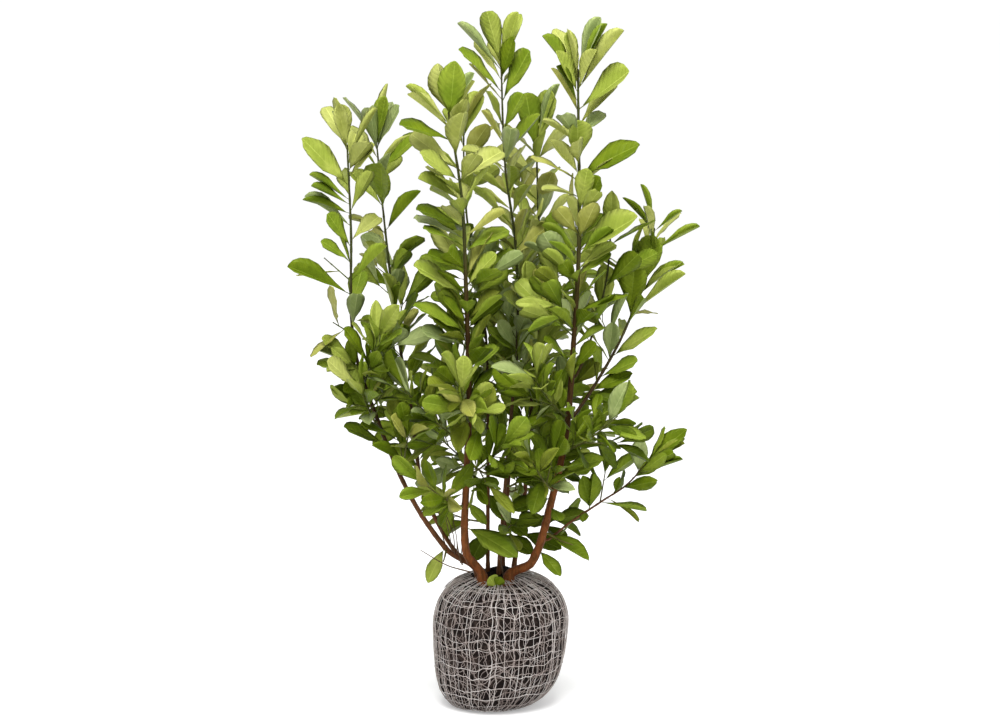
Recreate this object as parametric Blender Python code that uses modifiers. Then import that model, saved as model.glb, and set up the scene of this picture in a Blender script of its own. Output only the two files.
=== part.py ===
"""A young cherry laurel on its netted root ball: eight stems in a vase, each a bare limb below and
leafy shoots above, with short side shoots round the limbs and three long branches on the right.

Metres, +Z up. The origin is the centre of the ball's flat underside and the plant's front is -Y.
A bearing is measured in plan from +X, anticlockwise, so 90 is the back and 270 is the front.
"""

import math
import random

import bmesh
import bpy
from mathutils import Matrix, Vector
from mathutils.bvhtree import BVHTree
from mathutils.geometry import interpolate_bezier

SEED = 10

# Root ball, with two waves round it: how many, their start, turn with height, and size
BALL_RADIUS = 0.153
BALL_MIDDLE = 0.150
BALL_RISE = 0.155
BALL_DROP = 0.161
BALL_SQUARENESS = 2.8
BALL_LEAN = 0.055
BALL_WAVES = ((2, 0.7, 0, 0.016), (5, 0, 4, 0.008))
SOIL_TOP = 0.297
BALL_SIDES = 16
BALL_RINGS = 12

# String net round the ball, whose first and last rings are counted from the underside
NET_FIRST_RING = 3
NET_LAST_RING = 10
NET_STRING = 0.0034
NET_CLEARANCE = 0.0006

# Gap where one piece is seated on another, and the distance at which points are made one
JOINT_GAP = 0.0003
WELD = 1e-5

# Limbs and shoots, with the distance between the points of a route, the length of its square ends,
# and how far a stem starts below the level where it is cut off
FLARE = 0.25
FLARE_HEIGHT = 0.02
FLARED_FROM = 0.0045
TAPER_POWER = 0.8
STEP = 0.04
SQUARE_END = 0.005
FOOT_DEPTH = 0.02
LIMB_SIDES = 6
SHOOT_SIDES = 3

# A leaf: its length, then its shape in shares of that length from root to tip
LEAF_LENGTH = 0.126
LEAF_WIDTH = 0.47
LEAF_THICKNESS = 0.026
WIDEST_AT = 0.66
TIP_WIDTH = 0.20
TIP_DROPS = {"flat": 0.0, "arched": 0.07, "drooping": 0.14}
LEAF_KINDS = ("flat", "arched", "arched", "drooping")

# How leaves sit on a shoot. Angles are in degrees, and each spread is the range of a chance factor
TURN = 137.5
LOW_SPLAY = 58
CLUSTER_SPLAY = 42
TOP_SPLAY = 20
ANGLE_SPREAD = 8
LEAF_ROLL = 38
SKY_PULL = 0.22
ROOT_DEPTH = 0.4
SIZE_SPREAD = (0.82, 1.04)
SPACING_SPREAD = (0.85, 1.15)
CLUSTER_SPACING = 0.011
TIP_MARGIN = 0.001

# Side twigs on a shoot
TWIG_RADII = (0.0018, 0.0012)
TWIG_RISE = 48
TWIG_LENGTH = 0.075
TWIG_SPACING = 0.115
TWIG_SPLAY = 52
TWIG_LEAVES_AT = (0.45, 0.72, 0.9, 0.985)

# What grows on each kind of shoot: leaf size as a share of LEAF_LENGTH, leaf spacing, how many
# leaves stand in the tip's cluster, and the lengths at foot and tip without leaves or twigs
HABITS = {
    "top": dict(size=1.0, spacing=0.030, cluster=6, no_leaves=(0.03, 0.066), no_twigs=None),
    "middle": dict(size=1.0, spacing=0.034, cluster=0, no_leaves=(0.015, 0.008), no_twigs=(0.03, 0.03)),
    "side": dict(size=0.94, spacing=0.025, cluster=5, no_leaves=(0.035, 0.055), no_twigs=(0.05, 0.05)),
    "branch": dict(size=1.0, spacing=0.030, cluster=6, no_leaves=(0.03, 0.066), no_twigs=(0.06, 0.12)),
    "foot": dict(size=0.86, spacing=0.025, cluster=3, no_leaves=(0.035, 0.045), no_twigs=None),
}

# Room that growth keeps: the reach of a mass round its shoot and the height kept above the soil.
# A new piece is tested by a copy of this scale without its sunk root, at several turns each way
SPACE_RADIUS = 0.165
SOIL_ROOM = 0.012
TEST_SCALE = (1.02, 1.04, 1.5)
LEAF_ROOT_SHARE = 0.09
TWIG_ROOT_SHARE = 0.15
TRIES = 7
SWING = 17

# Each stem: knots (x, y, z) from foot to tip, foot and tip radii, and the heights where its bare
# limb ends and where its middle mass ends
STEMS = {
    "front_stem": dict(
        knots=((-0.040, -0.036, SOIL_TOP), (-0.076, -0.056, 0.36), (-0.075, -0.085, 0.53),
               (-0.068, -0.118, 0.69), (-0.074, -0.165, 0.96), (-0.082, -0.192, 1.15),
               (-0.110, -0.200, 1.335)),
        radii=(0.0100, 0.0022), bare=0.70, middle=1.01),
    "front_right_stem": dict(
        knots=((0.020, -0.034, SOIL_TOP), (0.072, -0.045, 0.335), (0.110, -0.060, 0.455),
               (0.147, -0.090, 0.635), (0.162, -0.120, 0.84), (0.172, -0.148, 1.06), (0.168, -0.160, 1.43)),
        radii=(0.0105, 0.0023), bare=0.82, middle=1.10),
    "left_outer_stem": dict(
        knots=((-0.050, -0.012, SOIL_TOP), (-0.121, -0.022, 0.36), (-0.206, -0.030, 0.49),
               (-0.287, -0.040, 0.69), (-0.328, -0.050, 0.84), (-0.331, -0.060, 1.09),
               (-0.338, -0.062, 1.27)),
        radii=(0.0068, 0.0020), bare=0.82, middle=1.03),
    "left_inner_stem": dict(
        knots=((-0.042, 0.018, SOIL_TOP), (-0.105, 0.024, 0.35), (-0.176, 0.040, 0.49),
               (-0.205, 0.060, 0.68), (-0.236, 0.078, 0.85), (-0.266, 0.100, 1.10), (-0.284, 0.105, 1.29)),
        radii=(0.0056, 0.0019), bare=0.72, middle=1.01),
    "centre_stem": dict(
        knots=((-0.002, 0.016, SOIL_TOP), (0.006, 0.020, 0.42), (0.020, 0.020, 0.60),
               (0.040, 0.018, 0.85), (0.034, 0.010, 1.06), (0.012, 0.0, 1.22), (0.002, 0.0, 1.462)),
        radii=(0.0052, 0.0020), bare=0.72, middle=1.10),
    "back_right_stem": dict(
        knots=((0.032, 0.036, SOIL_TOP), (0.052, 0.062, 0.42), (0.064, 0.095, 0.56),
               (0.080, 0.150, 0.76), (0.097, 0.205, 0.97), (0.090, 0.240, 1.14), (0.086, 0.255, 1.30)),
        radii=(0.0060, 0.0020), bare=0.70, middle=1.00),
    "back_left_stem": dict(
        knots=((-0.028, 0.036, SOIL_TOP), (-0.028, 0.066, 0.42), (-0.028, 0.105, 0.57),
               (-0.032, 0.160, 0.82), (-0.058, 0.190, 0.97), (-0.082, 0.215, 1.15), (-0.086, 0.225, 1.32)),
        radii=(0.0050, 0.0019), bare=0.70, middle=1.00),
    "rear_stem": dict(
        knots=((0.006, 0.050, SOIL_TOP), (0.012, 0.100, 0.39), (0.022, 0.190, 0.52),
               (0.036, 0.275, 0.70), (0.046, 0.330, 0.88), (0.052, 0.350, 1.03), (0.050, 0.352, 1.18)),
        radii=(0.0056, 0.0019), bare=0.66, middle=0.92),
}

# Long branches: the stem and height that each leaves, its knots, radii and bare length
BRANCHES = {
    "right_upper_branch": dict(
        stem="front_right_stem", height=0.665,
        knots=((0.196, -0.072, 0.715), (0.262, -0.028, 0.82), (0.302, 0.0, 0.905),
               (0.338, 0.018, 1.0), (0.349, 0.022, 1.085)),
        radii=(0.0042, 0.0018), bare=0.13),
    "right_inner_branch": dict(
        stem="front_right_stem", height=0.755,
        knots=((0.186, -0.092, 0.80), (0.216, -0.082, 0.89), (0.238, -0.076, 0.99), (0.248, -0.074, 1.14)),
        radii=(0.0032, 0.0017), bare=0.06),
    "right_low_branch": dict(
        stem="front_right_stem", height=0.385,
        knots=((0.154, -0.046, 0.424), (0.232, -0.036, 0.475), (0.282, -0.030, 0.507),
               (0.335, -0.030, 0.565)),
        radii=(0.0030, 0.0016), bare=0.09),
}

# Side shoots: stem, height, bearing, rise in degrees, length. A foot shoot has few leaves
SIDE_SHOOTS = {
    "front_side_low": ("front_stem", 0.47, 225, 28, 0.11),
    "front_side_middle": ("front_stem", 0.545, 300, 32, 0.15),
    "front_side_left": ("front_stem", 0.615, 190, 38, 0.16),
    "front_side_high": ("front_stem", 0.665, 265, 35, 0.16),
    "front_right_foot": ("front_right_stem", 0.405, 335, -8, 0.06),
    "front_right_side_low": ("front_right_stem", 0.505, 250, 30, 0.14),
    "front_right_side": ("front_right_stem", 0.60, 315, 35, 0.16),
    "front_right_side_middle": ("front_right_stem", 0.675, 235, 35, 0.14),
    "left_outer_foot": ("left_outer_stem", 0.36, 250, -12, 0.045),
    "left_outer_side_low": ("left_outer_stem", 0.535, 285, 40, 0.13),
    "left_outer_side": ("left_outer_stem", 0.655, 245, 48, 0.10),
    "left_outer_side_high": ("left_outer_stem", 0.745, 290, 40, 0.14),
    "left_inner_side_low": ("left_inner_stem", 0.50, 100, 38, 0.14),
    "left_inner_side": ("left_inner_stem", 0.62, 125, 35, 0.16),
    "centre_foot": ("centre_stem", 0.40, 285, 12, 0.07),
    "centre_side_low": ("centre_stem", 0.50, 340, 35, 0.15),
    "centre_side": ("centre_stem", 0.62, 20, 35, 0.18),
    "back_right_foot": ("back_right_stem", 0.41, 20, 10, 0.08),
    "back_right_side_low": ("back_right_stem", 0.52, 35, 35, 0.17),
    "back_right_side": ("back_right_stem", 0.62, 65, 35, 0.19),
    "back_left_foot": ("back_left_stem", 0.41, 165, 10, 0.08),
    "back_left_side_low": ("back_left_stem", 0.52, 155, 35, 0.16),
    "back_left_side": ("back_left_stem", 0.62, 120, 35, 0.19),
    "rear_side_low": ("rear_stem", 0.47, 50, 35, 0.15),
    "rear_side": ("rear_stem", 0.58, 110, 35, 0.17),
}
SIDE_RADII = (0.0026, 0.0015)
SIDE_BEND = 0.45
SIDE_LIFT = 0.10

# How a side shoot or branch sits on its stem: the length of its straight foot, the share of the
# stem's own direction taken out of a branch's first direction, and the rays that find its seat, in
# rings over its foot, cast from this far out
STRAIGHT_FOOT = 0.008
BRANCH_SQUARE = 0.6
SEAT_RINGS = 5
SEAT_RAYS = 16
SEAT_REACH = 0.02

COLOURS = {
    "soil": ((0.045, 0.030, 0.022), 0.95),
    "net": ((0.62, 0.57, 0.53), 0.8),
    "bark": ((0.20, 0.075, 0.035), 0.7),
    "leaf": ((0.16, 0.30, 0.035), 0.45),
}


def clear_scene():
    for obj in list(bpy.data.objects):
        bpy.data.objects.remove(obj)


def new_collection(name):
    made = bpy.data.collections.new(name)
    bpy.context.scene.collection.children.link(made)
    return made


def material(name):
    colour, roughness = COLOURS[name]
    made = bpy.data.materials.get(name)
    if made:
        return made
    made = bpy.data.materials.new(name)
    made.use_nodes = True
    shader = made.node_tree.nodes["Principled BSDF"]
    shader.inputs["Base Color"].default_value = (*colour, 1)
    shader.inputs["Roughness"].default_value = roughness
    shader.inputs["Metallic"].default_value = 0
    return made


def add_object(name, mesh, collection, colour):
    obj = bpy.data.objects.new(name, mesh)
    collection.objects.link(obj)
    mesh.materials.clear()
    mesh.materials.append(material(colour))
    return obj


def mesh_from(bm, name):
    mesh = bpy.data.meshes.new(name)
    bm.to_mesh(mesh)
    bm.free()
    return mesh


# Root ball and net


def on_ball(direction, proud):
    """The point of the ball's lumpy, squared surface in that direction, pushed out by proud."""
    x, y, z = direction
    height = BALL_RISE if z > 0 else BALL_DROP
    power = BALL_SQUARENESS
    size = (math.hypot(x, y) / BALL_RADIUS) ** power + (abs(z) / height) ** power
    bearing = math.atan2(y, x)
    waves = (lump * math.sin(count * bearing + start + turn * z) for count, start, turn, lump in BALL_WAVES)
    point = Vector(direction) * (1 + sum(waves) * (1 - z * z)) / size ** (1 / power)
    point += Vector(direction) * proud
    point.z += BALL_MIDDLE + BALL_LEAN * point.x * (1 - abs(z))
    return point


def root_ball(collection):
    """A globe moved on to the ball's surface, cut level above and below."""
    bm = bmesh.new()
    bmesh.ops.create_uvsphere(bm, u_segments=BALL_SIDES, v_segments=BALL_RINGS, radius=1)
    for vert in bm.verts:
        vert.co = on_ball(vert.co.normalized(), 0)
        vert.co.z = min(max(vert.co.z, 0), SOIL_TOP)
    return add_object("root_ball", mesh_from(bm, "root_ball"), collection, "soil")


def string_net(collection):
    """The ball's own grid from just above the underside to the mouth, each edge made a string."""
    bm = bmesh.new()
    bmesh.ops.create_uvsphere(bm, u_segments=BALL_SIDES, v_segments=BALL_RINGS, radius=1)
    outside = []
    for vert in bm.verts:
        ring = round(BALL_RINGS * (0.5 + math.asin(max(-1, min(1, vert.co.z))) / math.pi))
        if not NET_FIRST_RING <= ring <= NET_LAST_RING:
            outside.append(vert)
        vert.co = on_ball(vert.co.normalized(), NET_STRING / 2 + NET_CLEARANCE)
    bmesh.ops.delete(bm, geom=outside, context="VERTS")
    bm.normal_update()
    net = add_object("net", mesh_from(bm, "net"), collection, "net")
    strings = net.modifiers.new("strings", "WIREFRAME")
    strings.thickness = NET_STRING
    strings.use_even_offset = False
    strings.use_boundary = True
    return net


# Routes


def smooth_route(knots):
    """Points about STEP apart on one smooth curve through the knots. A route from the soil starts
    straight up."""
    knots = [Vector(k) for k in knots]
    slopes = []
    for i in range(len(knots)):
        before, after = knots[max(i - 1, 0)], knots[min(i + 1, len(knots) - 1)]
        slopes.append((after - before).normalized())
    if math.isclose(knots[0].z, SOIL_TOP, abs_tol=1e-6):
        slopes[0] = Vector((0, 0, 1))
    route = [knots[0]]
    for i in range(len(knots) - 1):
        a, b = knots[i], knots[i + 1]
        reach = (b - a).length / 3
        count = max(2, round((b - a).length / STEP))
        route += interpolate_bezier(a, a + slopes[i] * reach, b - slopes[i + 1] * reach, b, count + 1)[1:]
    return route


def lengths_along(route):
    total = [0.0]
    for a, b in zip(route, route[1:]):
        total.append(total[-1] + (b - a).length)
    return total


def at_length(route, s):
    """The point and direction at distance s along the route, the direction turning smoothly."""
    total = lengths_along(route)
    s = min(max(s, 0.0), total[-1])
    i = next((k for k in range(len(total) - 1) if s <= total[k + 1]), len(total) - 2)
    share = (s - total[i]) / (total[i + 1] - total[i])
    here = (route[i + 1] - route[i]).normalized()
    before = (route[i] - route[i - 1]).normalized() if i > 0 else here
    after = (route[i + 2] - route[i + 1]).normalized() if i + 2 < len(route) else here
    start, end = (before + here).normalized(), (after + here).normalized()
    return route[i].lerp(route[i + 1], share), start.lerp(end, share).normalized()


def length_at_height(route, height):
    total = lengths_along(route)
    for i in range(len(route) - 1):
        if route[i].z <= height <= route[i + 1].z:
            share = (height - route[i].z) / (route[i + 1].z - route[i].z)
            return total[i] + share * (total[i + 1] - total[i])
    return total[-1]


def stretch(route, start, end, every=1):
    """The part of the route between two lengths, with ends that are square to the route. Between
    them it has every second point of the route if every is 2."""
    total = lengths_along(route)
    inner = [p for p, s in zip(route, total) if start + 2 * SQUARE_END < s < end - 2 * SQUARE_END]
    first, ahead = at_length(route, start)
    last, onward = at_length(route, end)
    return [first, first + ahead * SQUARE_END, *inner[::every], last - onward * SQUARE_END, last]


# Limbs


def ring_section(sides):
    """A closed ring of unit radius with that many corners, the section of a rod."""
    curve = bpy.data.curves.new("section", "CURVE")
    spline = curve.splines.new("POLY")
    spline.points.add(sides - 1)
    for k, point in enumerate(spline.points):
        angle = 2 * math.pi * k / sides
        point.co = (math.cos(angle), math.sin(angle), 0, 1)
    spline.use_cyclic_u = True
    return bpy.data.objects.new("section", curve)


def rod(name, route, radius_at, sides, collection, colour):
    """A tapered rod with closed ends along the route. radius_at takes a length along it."""
    section = ring_section(sides)
    curve = bpy.data.curves.new(name, "CURVE")
    curve.dimensions = "3D"
    curve.bevel_mode = "OBJECT"
    curve.bevel_object = section
    curve.use_fill_caps = True
    spline = curve.splines.new("POLY")
    spline.points.add(len(route) - 1)
    for point, place, s in zip(spline.points, route, lengths_along(route)):
        point.co = (*place, 1)
        point.radius = radius_at(s)
    guide = bpy.data.objects.new(name + "_line", curve)
    collection.objects.link(guide)
    bpy.context.view_layer.update()
    graph = bpy.context.evaluated_depsgraph_get()
    mesh = bpy.data.meshes.new_from_object(guide.evaluated_get(graph))
    for helper in (guide, section):
        bpy.data.objects.remove(helper)
    bm = bmesh.new()
    bm.from_mesh(mesh)
    bmesh.ops.remove_doubles(bm, verts=bm.verts, dist=WELD)
    bmesh.ops.recalc_face_normals(bm, faces=bm.faces)
    bm.to_mesh(mesh)
    bm.free()
    return add_object(name, mesh, collection, colour)


def cut_level(mesh, height):
    """Cuts the mesh off level at that height and closes the cut, which leaves a flat foot."""
    bm = bmesh.new()
    bm.from_mesh(mesh)
    everything = [*bm.verts, *bm.edges, *bm.faces]
    cut = bmesh.ops.bisect_plane(bm, geom=everything, plane_co=(0, 0, height), plane_no=(0, 0, 1),
                                 clear_inner=True)
    bmesh.ops.edgeloop_fill(bm, edges=[g for g in cut["geom_cut"] if isinstance(g, bmesh.types.BMEdge)])
    bmesh.ops.recalc_face_normals(bm, faces=bm.faces)
    bm.to_mesh(mesh)
    bm.free()


def taper(radii, length, start=0.0):
    """Radius as a function of the length from start along a limb, with a flare at a thick foot."""
    def radius_at(s):
        share = min(1, max(0, start + s) / length)
        flare = FLARE * max(0, 1 - (start + s) / FLARE_HEIGHT) if radii[0] > FLARED_FROM else 0
        return (radii[0] + (radii[1] - radii[0]) * share ** TAPER_POWER) * (1 + flare)
    return radius_at


# One leaf and one twig, of unit length along +X


def three_sided_rod(far_radius):
    """A rod with one side facing +Z, a unit long and a unit in radius at its foot."""
    bm = bmesh.new()
    bmesh.ops.create_cone(bm, cap_ends=True, segments=3, radius1=1, radius2=far_radius, depth=1)
    turned = Matrix.Rotation(-math.pi / 2, 4, "X") @ Matrix.Rotation(math.pi / 2, 4, "Y")
    bm.transform(turned @ Matrix.Translation((0, 0, 0.5)))
    return bm


def leaf_mesh(kind):
    """A blade flat above and keeled below: a rod cut across at its widest place, drawn to a point at
    the root and to an edge at the tip."""
    bm = three_sided_rod(1)
    everything = [*bm.verts, *bm.edges, *bm.faces]
    bmesh.ops.bisect_plane(bm, geom=everything, plane_co=(WIDEST_AT, 0, 0), plane_no=(1, 0, 0))
    stations = {0: (0, 0), WIDEST_AT: (LEAF_WIDTH / 2, LEAF_THICKNESS), 1: (TIP_WIDTH / 2, 0)}
    for vert in bm.verts:
        x = min(stations, key=lambda station: abs(station - vert.co.x))
        half_width, keel = stations[x]
        side = 0 if abs(vert.co.y) < 0.1 else math.copysign(1, vert.co.y)
        if side == 0 and x == 1:
            side = 1
        vert.co = (x, side * half_width, -TIP_DROPS[kind] * x * x - (keel if side == 0 else 0))
    bmesh.ops.remove_doubles(bm, verts=bm.verts, dist=WELD)
    bmesh.ops.triangulate(bm, faces=bm.faces)
    bmesh.ops.recalc_face_normals(bm, faces=bm.faces)
    return mesh_from(bm, "leaf_" + kind)


def twig_mesh():
    return mesh_from(three_sided_rod(TWIG_RADII[1] / TWIG_RADII[0]), "twig")


# Growth


def frame_along(origin, along, top):
    """A matrix with +X along the given direction and +Z as near to top as it can be."""
    x = along.normalized()
    y = top.cross(x).normalized()
    matrix = Matrix((x, y, x.cross(y))).transposed().to_4x4()
    matrix.translation = origin
    return matrix


def tree_of(mesh, matrix):
    points = [matrix @ v.co for v in mesh.vertices]
    return points, BVHTree.FromPolygons(points, [p.vertices[:] for p in mesh.polygons])


def corners_of(points):
    return [min(axis) for axis in zip(*points)], [max(axis) for axis in zip(*points)]


class Grown:
    """What stands already, so that nothing new is grown through it."""

    def __init__(self):
        self.items = []

    def add(self, points, tree, owner):
        self.items.append((*corners_of(points), tree, owner))

    def touches(self, points, whole, past_root, mass, carriers):
        """True if the piece meets another mass or a limb, or if its part past the root meets anything
        but its carriers."""
        low, high = corners_of(points)
        for other_low, other_high, other, owner in self.items:
            if owner in carriers or any(low[k] > other_high[k] or high[k] < other_low[k] for k in range(3)):
                continue
            if past_root.overlap(other) or (owner[0] != mass and whole.overlap(other)):
                return True
        return False


class Mass:
    """A shoot with its twigs and leaves, grown in its own space round the shoot's line."""

    def __init__(self, name, route, radius_at, habit, plant):
        self.name = name
        self.route = route
        self.length = lengths_along(route)[-1]
        self.radius_at = radius_at
        self.habit = HABITS[habit]
        self.plant = plant
        self.chance = random.Random(f"{SEED} {name}")
        self.pieces = []
        self.turn = self.chance.uniform(0, 360)
        self.stem = rod(name, route, radius_at, SHOOT_SIDES, plant["collection"], "leaf")
        self.stem_owner = (name, "shoot")
        points, tree = tree_of(self.stem.data, Matrix())
        plant["grown"].add(points, tree, self.stem_owner)

    def in_space(self, points):
        """True if every point is near enough to the shoot's line and clear of the ball's top."""
        for point in points:
            low = point.z < SOIL_TOP + SOIL_ROOM
            on_soil = low and math.hypot(point.x, point.y) < BALL_RADIUS + SOIL_ROOM
            if on_soil or min((point - p).length for p in self.route) > SPACE_RADIUS:
                return False
        return True

    def place(self, mesh, matrix, root_share, carriers):
        """Adds a copy of the mesh there unless it leaves the space or touches what stands."""
        points, whole = tree_of(mesh, matrix)
        length, width, height = TEST_SCALE
        enlarged = Matrix.Diagonal((length - root_share, width, height, 1))
        enlarged.translation.x = root_share
        test_points, past_root = tree_of(mesh, matrix @ enlarged)
        touches = self.plant["grown"].touches
        if not self.in_space(points) or touches(points + test_points, whole, past_root, self.name, carriers):
            return None
        owner = (self.name, len(self.pieces))
        self.plant["grown"].add(points, whole, owner)
        piece = bpy.data.objects.new("grown", mesh)
        piece.matrix_world = matrix
        self.pieces.append(piece)
        return owner

    def outward(self, along, turn):
        return Matrix.Rotation(math.radians(turn), 3, along) @ along.orthogonal().normalized()

    def leaf(self, point, along, splay, carriers, radius):
        """One leaf at a point of a shoot or twig, turned on from the last, tried at nearby turns."""
        mesh = self.plant["leaves"][self.chance.choice(LEAF_KINDS)]
        length = LEAF_LENGTH * self.habit["size"] * self.chance.uniform(*SIZE_SPREAD)
        roll = math.radians(self.chance.uniform(-LEAF_ROLL, LEAF_ROLL))
        splay = math.radians(splay + self.chance.uniform(-ANGLE_SPREAD, ANGLE_SPREAD))
        self.turn += TURN
        for attempt in range(TRIES):
            swing = (attempt + 1) // 2 * SWING * (-1) ** attempt
            outward = self.outward(along, self.turn + swing)
            ahead = along * math.cos(splay) + outward * math.sin(splay)
            top = (along * math.sin(splay) - outward * math.cos(splay)).lerp(Vector((0, 0, 1)), SKY_PULL)
            top = Matrix.Rotation(roll, 3, ahead) @ top
            matrix = frame_along(point - ahead * radius * ROOT_DEPTH, ahead, top) @ Matrix.Scale(length, 4)
            if self.place(mesh, matrix, LEAF_ROOT_SHARE, carriers):
                return

    def leaves_along(self, start, end):
        """Leaves up the shoot between two lengths, splayed less towards its tip."""
        s = start
        while s < end:
            point, along = at_length(self.route, s)
            splay = LOW_SPLAY + (CLUSTER_SPLAY - LOW_SPLAY) * s / self.length
            self.leaf(point, along, splay, (self.stem_owner,), self.radius_at(s))
            s += self.habit["spacing"] * self.chance.uniform(*SPACING_SPREAD)

    def tip_cluster(self, count):
        """A close ring of leaves at the shoot's tip, the last ones nearly upright."""
        for k in range(count):
            s = self.length - (count - 1 - k) * CLUSTER_SPACING - TIP_MARGIN
            point, along = at_length(self.route, s)
            splay = CLUSTER_SPLAY + (TOP_SPLAY - CLUSTER_SPLAY) * k / (count - 1)
            self.leaf(point, along, splay, (self.stem_owner,), self.radius_at(s))

    def twigs_along(self, start, end):
        """Side twigs between two lengths of the shoot, each with leaves of its own."""
        s = start
        while s < end:
            point, along = at_length(self.route, s)
            rise = math.radians(TWIG_RISE + self.chance.uniform(-ANGLE_SPREAD, ANGLE_SPREAD))
            length = TWIG_LENGTH * self.chance.uniform(*SPACING_SPREAD)
            for _ in range(TRIES):
                self.turn += TURN
                ahead = along * math.cos(rise) + self.outward(along, self.turn) * math.sin(rise)
                foot = point - ahead * self.radius_at(s) * ROOT_DEPTH
                scale = Matrix.Diagonal((length, TWIG_RADII[0], TWIG_RADII[0], 1))
                matrix = frame_along(foot, ahead, along) @ scale
                owner = self.place(self.plant["twig"], matrix, TWIG_ROOT_SHARE, (self.stem_owner,))
                if owner:
                    self.leaves_on_twig(foot, ahead, length, owner)
                    break
            s += TWIG_SPACING * self.chance.uniform(*SPACING_SPREAD)

    def leaves_on_twig(self, foot, ahead, length, owner):
        for k, share in enumerate(TWIG_LEAVES_AT):
            splay = TWIG_SPLAY + (TOP_SPLAY - TWIG_SPLAY) * k / (len(TWIG_LEAVES_AT) - 1)
            radius = TWIG_RADII[0] * (1 - share) + TWIG_RADII[1] * share
            self.leaf(foot + ahead * length * share, ahead, splay, (self.stem_owner, owner), radius)

    def grow(self):
        """All that the shoot carries. Twigs come first, as they need the most room."""
        if self.habit["no_twigs"]:
            foot, tip = self.habit["no_twigs"]
            self.twigs_along(foot, self.length - tip)
        self.tip_cluster(self.habit["cluster"])
        foot, tip = self.habit["no_leaves"]
        self.leaves_along(foot, self.length - tip)

    def fuse(self):
        """Joins the twigs and leaves to the shoot in one union, and drops loose scraps."""
        gathered = new_collection(self.name + "_pieces")
        for piece in self.pieces:
            gathered.objects.link(piece)
        union = self.stem.modifiers.new("leaves", "BOOLEAN")
        union.operation = "UNION"
        union.operand_type = "COLLECTION"
        union.collection = gathered
        union.solver = "MANIFOLD"
        bpy.context.view_layer.update()
        graph = bpy.context.evaluated_depsgraph_get()
        mesh = bpy.data.meshes.new_from_object(self.stem.evaluated_get(graph))
        self.stem.modifiers.clear()
        keep_largest(mesh)
        mesh.materials.clear()
        mesh.materials.append(material("leaf"))
        self.stem.data = mesh
        for piece in self.pieces:
            bpy.data.objects.remove(piece)
        bpy.data.collections.remove(gathered)


def keep_largest(mesh):
    """Keeps the largest connected body of a mesh, so that scraps and sealed hollows go."""
    bm = bmesh.new()
    bm.from_mesh(mesh)
    bmesh.ops.triangulate(bm, faces=bm.faces)
    left, bodies = set(bm.verts), []
    while left:
        first = left.pop()
        body, rim = {first}, [first]
        while rim:
            vert = rim.pop()
            new = {edge.other_vert(vert) for edge in vert.link_edges} - body
            body |= new
            rim += new
        left -= body
        bodies.append(body)
    largest = max(bodies, key=len)
    bmesh.ops.delete(bm, geom=[v for v in bm.verts if v not in largest], context="VERTS")
    bm.to_mesh(mesh)
    bm.free()


# Stems, branches and masses


def seated(route, radius_at, tree):
    """Moves a side route along its first direction until its foot is JOINT_GAP clear of its carrier."""
    ahead = (route[1] - route[0]).normalized()
    side = ahead.orthogonal().normalized()
    heights = []
    for ring in range(SEAT_RINGS):
        for ray in range(SEAT_RAYS):
            turn = Matrix.Rotation(2 * math.pi * ray / SEAT_RAYS, 3, ahead)
            point = route[0] + turn @ side * radius_at(0) * ring / (SEAT_RINGS - 1)
            hit = tree.ray_cast(point + ahead * SEAT_REACH, -ahead)[0]
            if hit:
                heights.append((hit - route[0]).dot(ahead))
    return [p + ahead * (max(heights) + JOINT_GAP) for p in route]


def bare_stem(name, spec, plant):
    """A stem's bare limb, from its flat foot on the soil to where its leaves begin."""
    route = smooth_route(spec["knots"])
    bare = length_at_height(route, spec["bare"])
    radius_at = taper(spec["radii"], lengths_along(route)[-1])
    buried = route[0] - Vector((0, 0, FOOT_DEPTH))
    limb = rod(name, [buried, *stretch(route, 0, bare)], lambda s: radius_at(s - FOOT_DEPTH), LIMB_SIDES,
               plant["collection"], "bark")
    cut_level(limb.data, SOIL_TOP + JOINT_GAP)
    points, tree = tree_of(limb.data, Matrix())
    plant["grown"].add(points, tree, (name, "limb"))
    plant["limbs"][name] = (route, radius_at, bare, tree)


def crown_masses(name, spec, plant):
    """The middle mass and the top mass on a stem, above its bare limb."""
    route, _, bare, _ = plant["limbs"][name]
    length = lengths_along(route)[-1]
    middle = length_at_height(route, spec["middle"])
    label = name.removesuffix("_stem")
    masses = []
    for habit, start, end in (("middle", bare, middle), ("top", middle, length)):
        line = stretch(route, start + JOINT_GAP, end, 2)
        radius_at = taper(spec["radii"], length, start + JOINT_GAP)
        masses.append(Mass(f"{label}_{habit}_leaves", line, radius_at, habit, plant))
    return masses


def branch(name, spec, plant):
    """A long branch: a bare limb seated on its stem, then its mass of leaves."""
    stem_route, _, _, tree = plant["limbs"][spec["stem"]]
    start, along = at_length(stem_route, length_at_height(stem_route, spec["height"]))
    outward = (Vector(spec["knots"][0]) - start).normalized()
    outward = (outward - along * outward.dot(along) * BRANCH_SQUARE).normalized()
    foot = [start + outward * STRAIGHT_FOOT, start + outward * 2 * STRAIGHT_FOOT]
    route = smooth_route([*foot, *spec["knots"]])
    length = lengths_along(route)[-1]
    radius_at = taper(spec["radii"], length)
    route = seated(route, radius_at, tree)
    limb = rod(name, stretch(route, 0, spec["bare"]), radius_at, LIMB_SIDES, plant["collection"], "bark")
    points, limb_tree = tree_of(limb.data, Matrix())
    plant["grown"].add(points, limb_tree, (name, "limb"))
    first = spec["bare"] + JOINT_GAP
    line = stretch(route, first, length, 2)
    mass_name = name.removesuffix("_branch") + "_leaves"
    return Mass(mass_name, line, taper(spec["radii"], length, first), "branch", plant)


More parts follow.
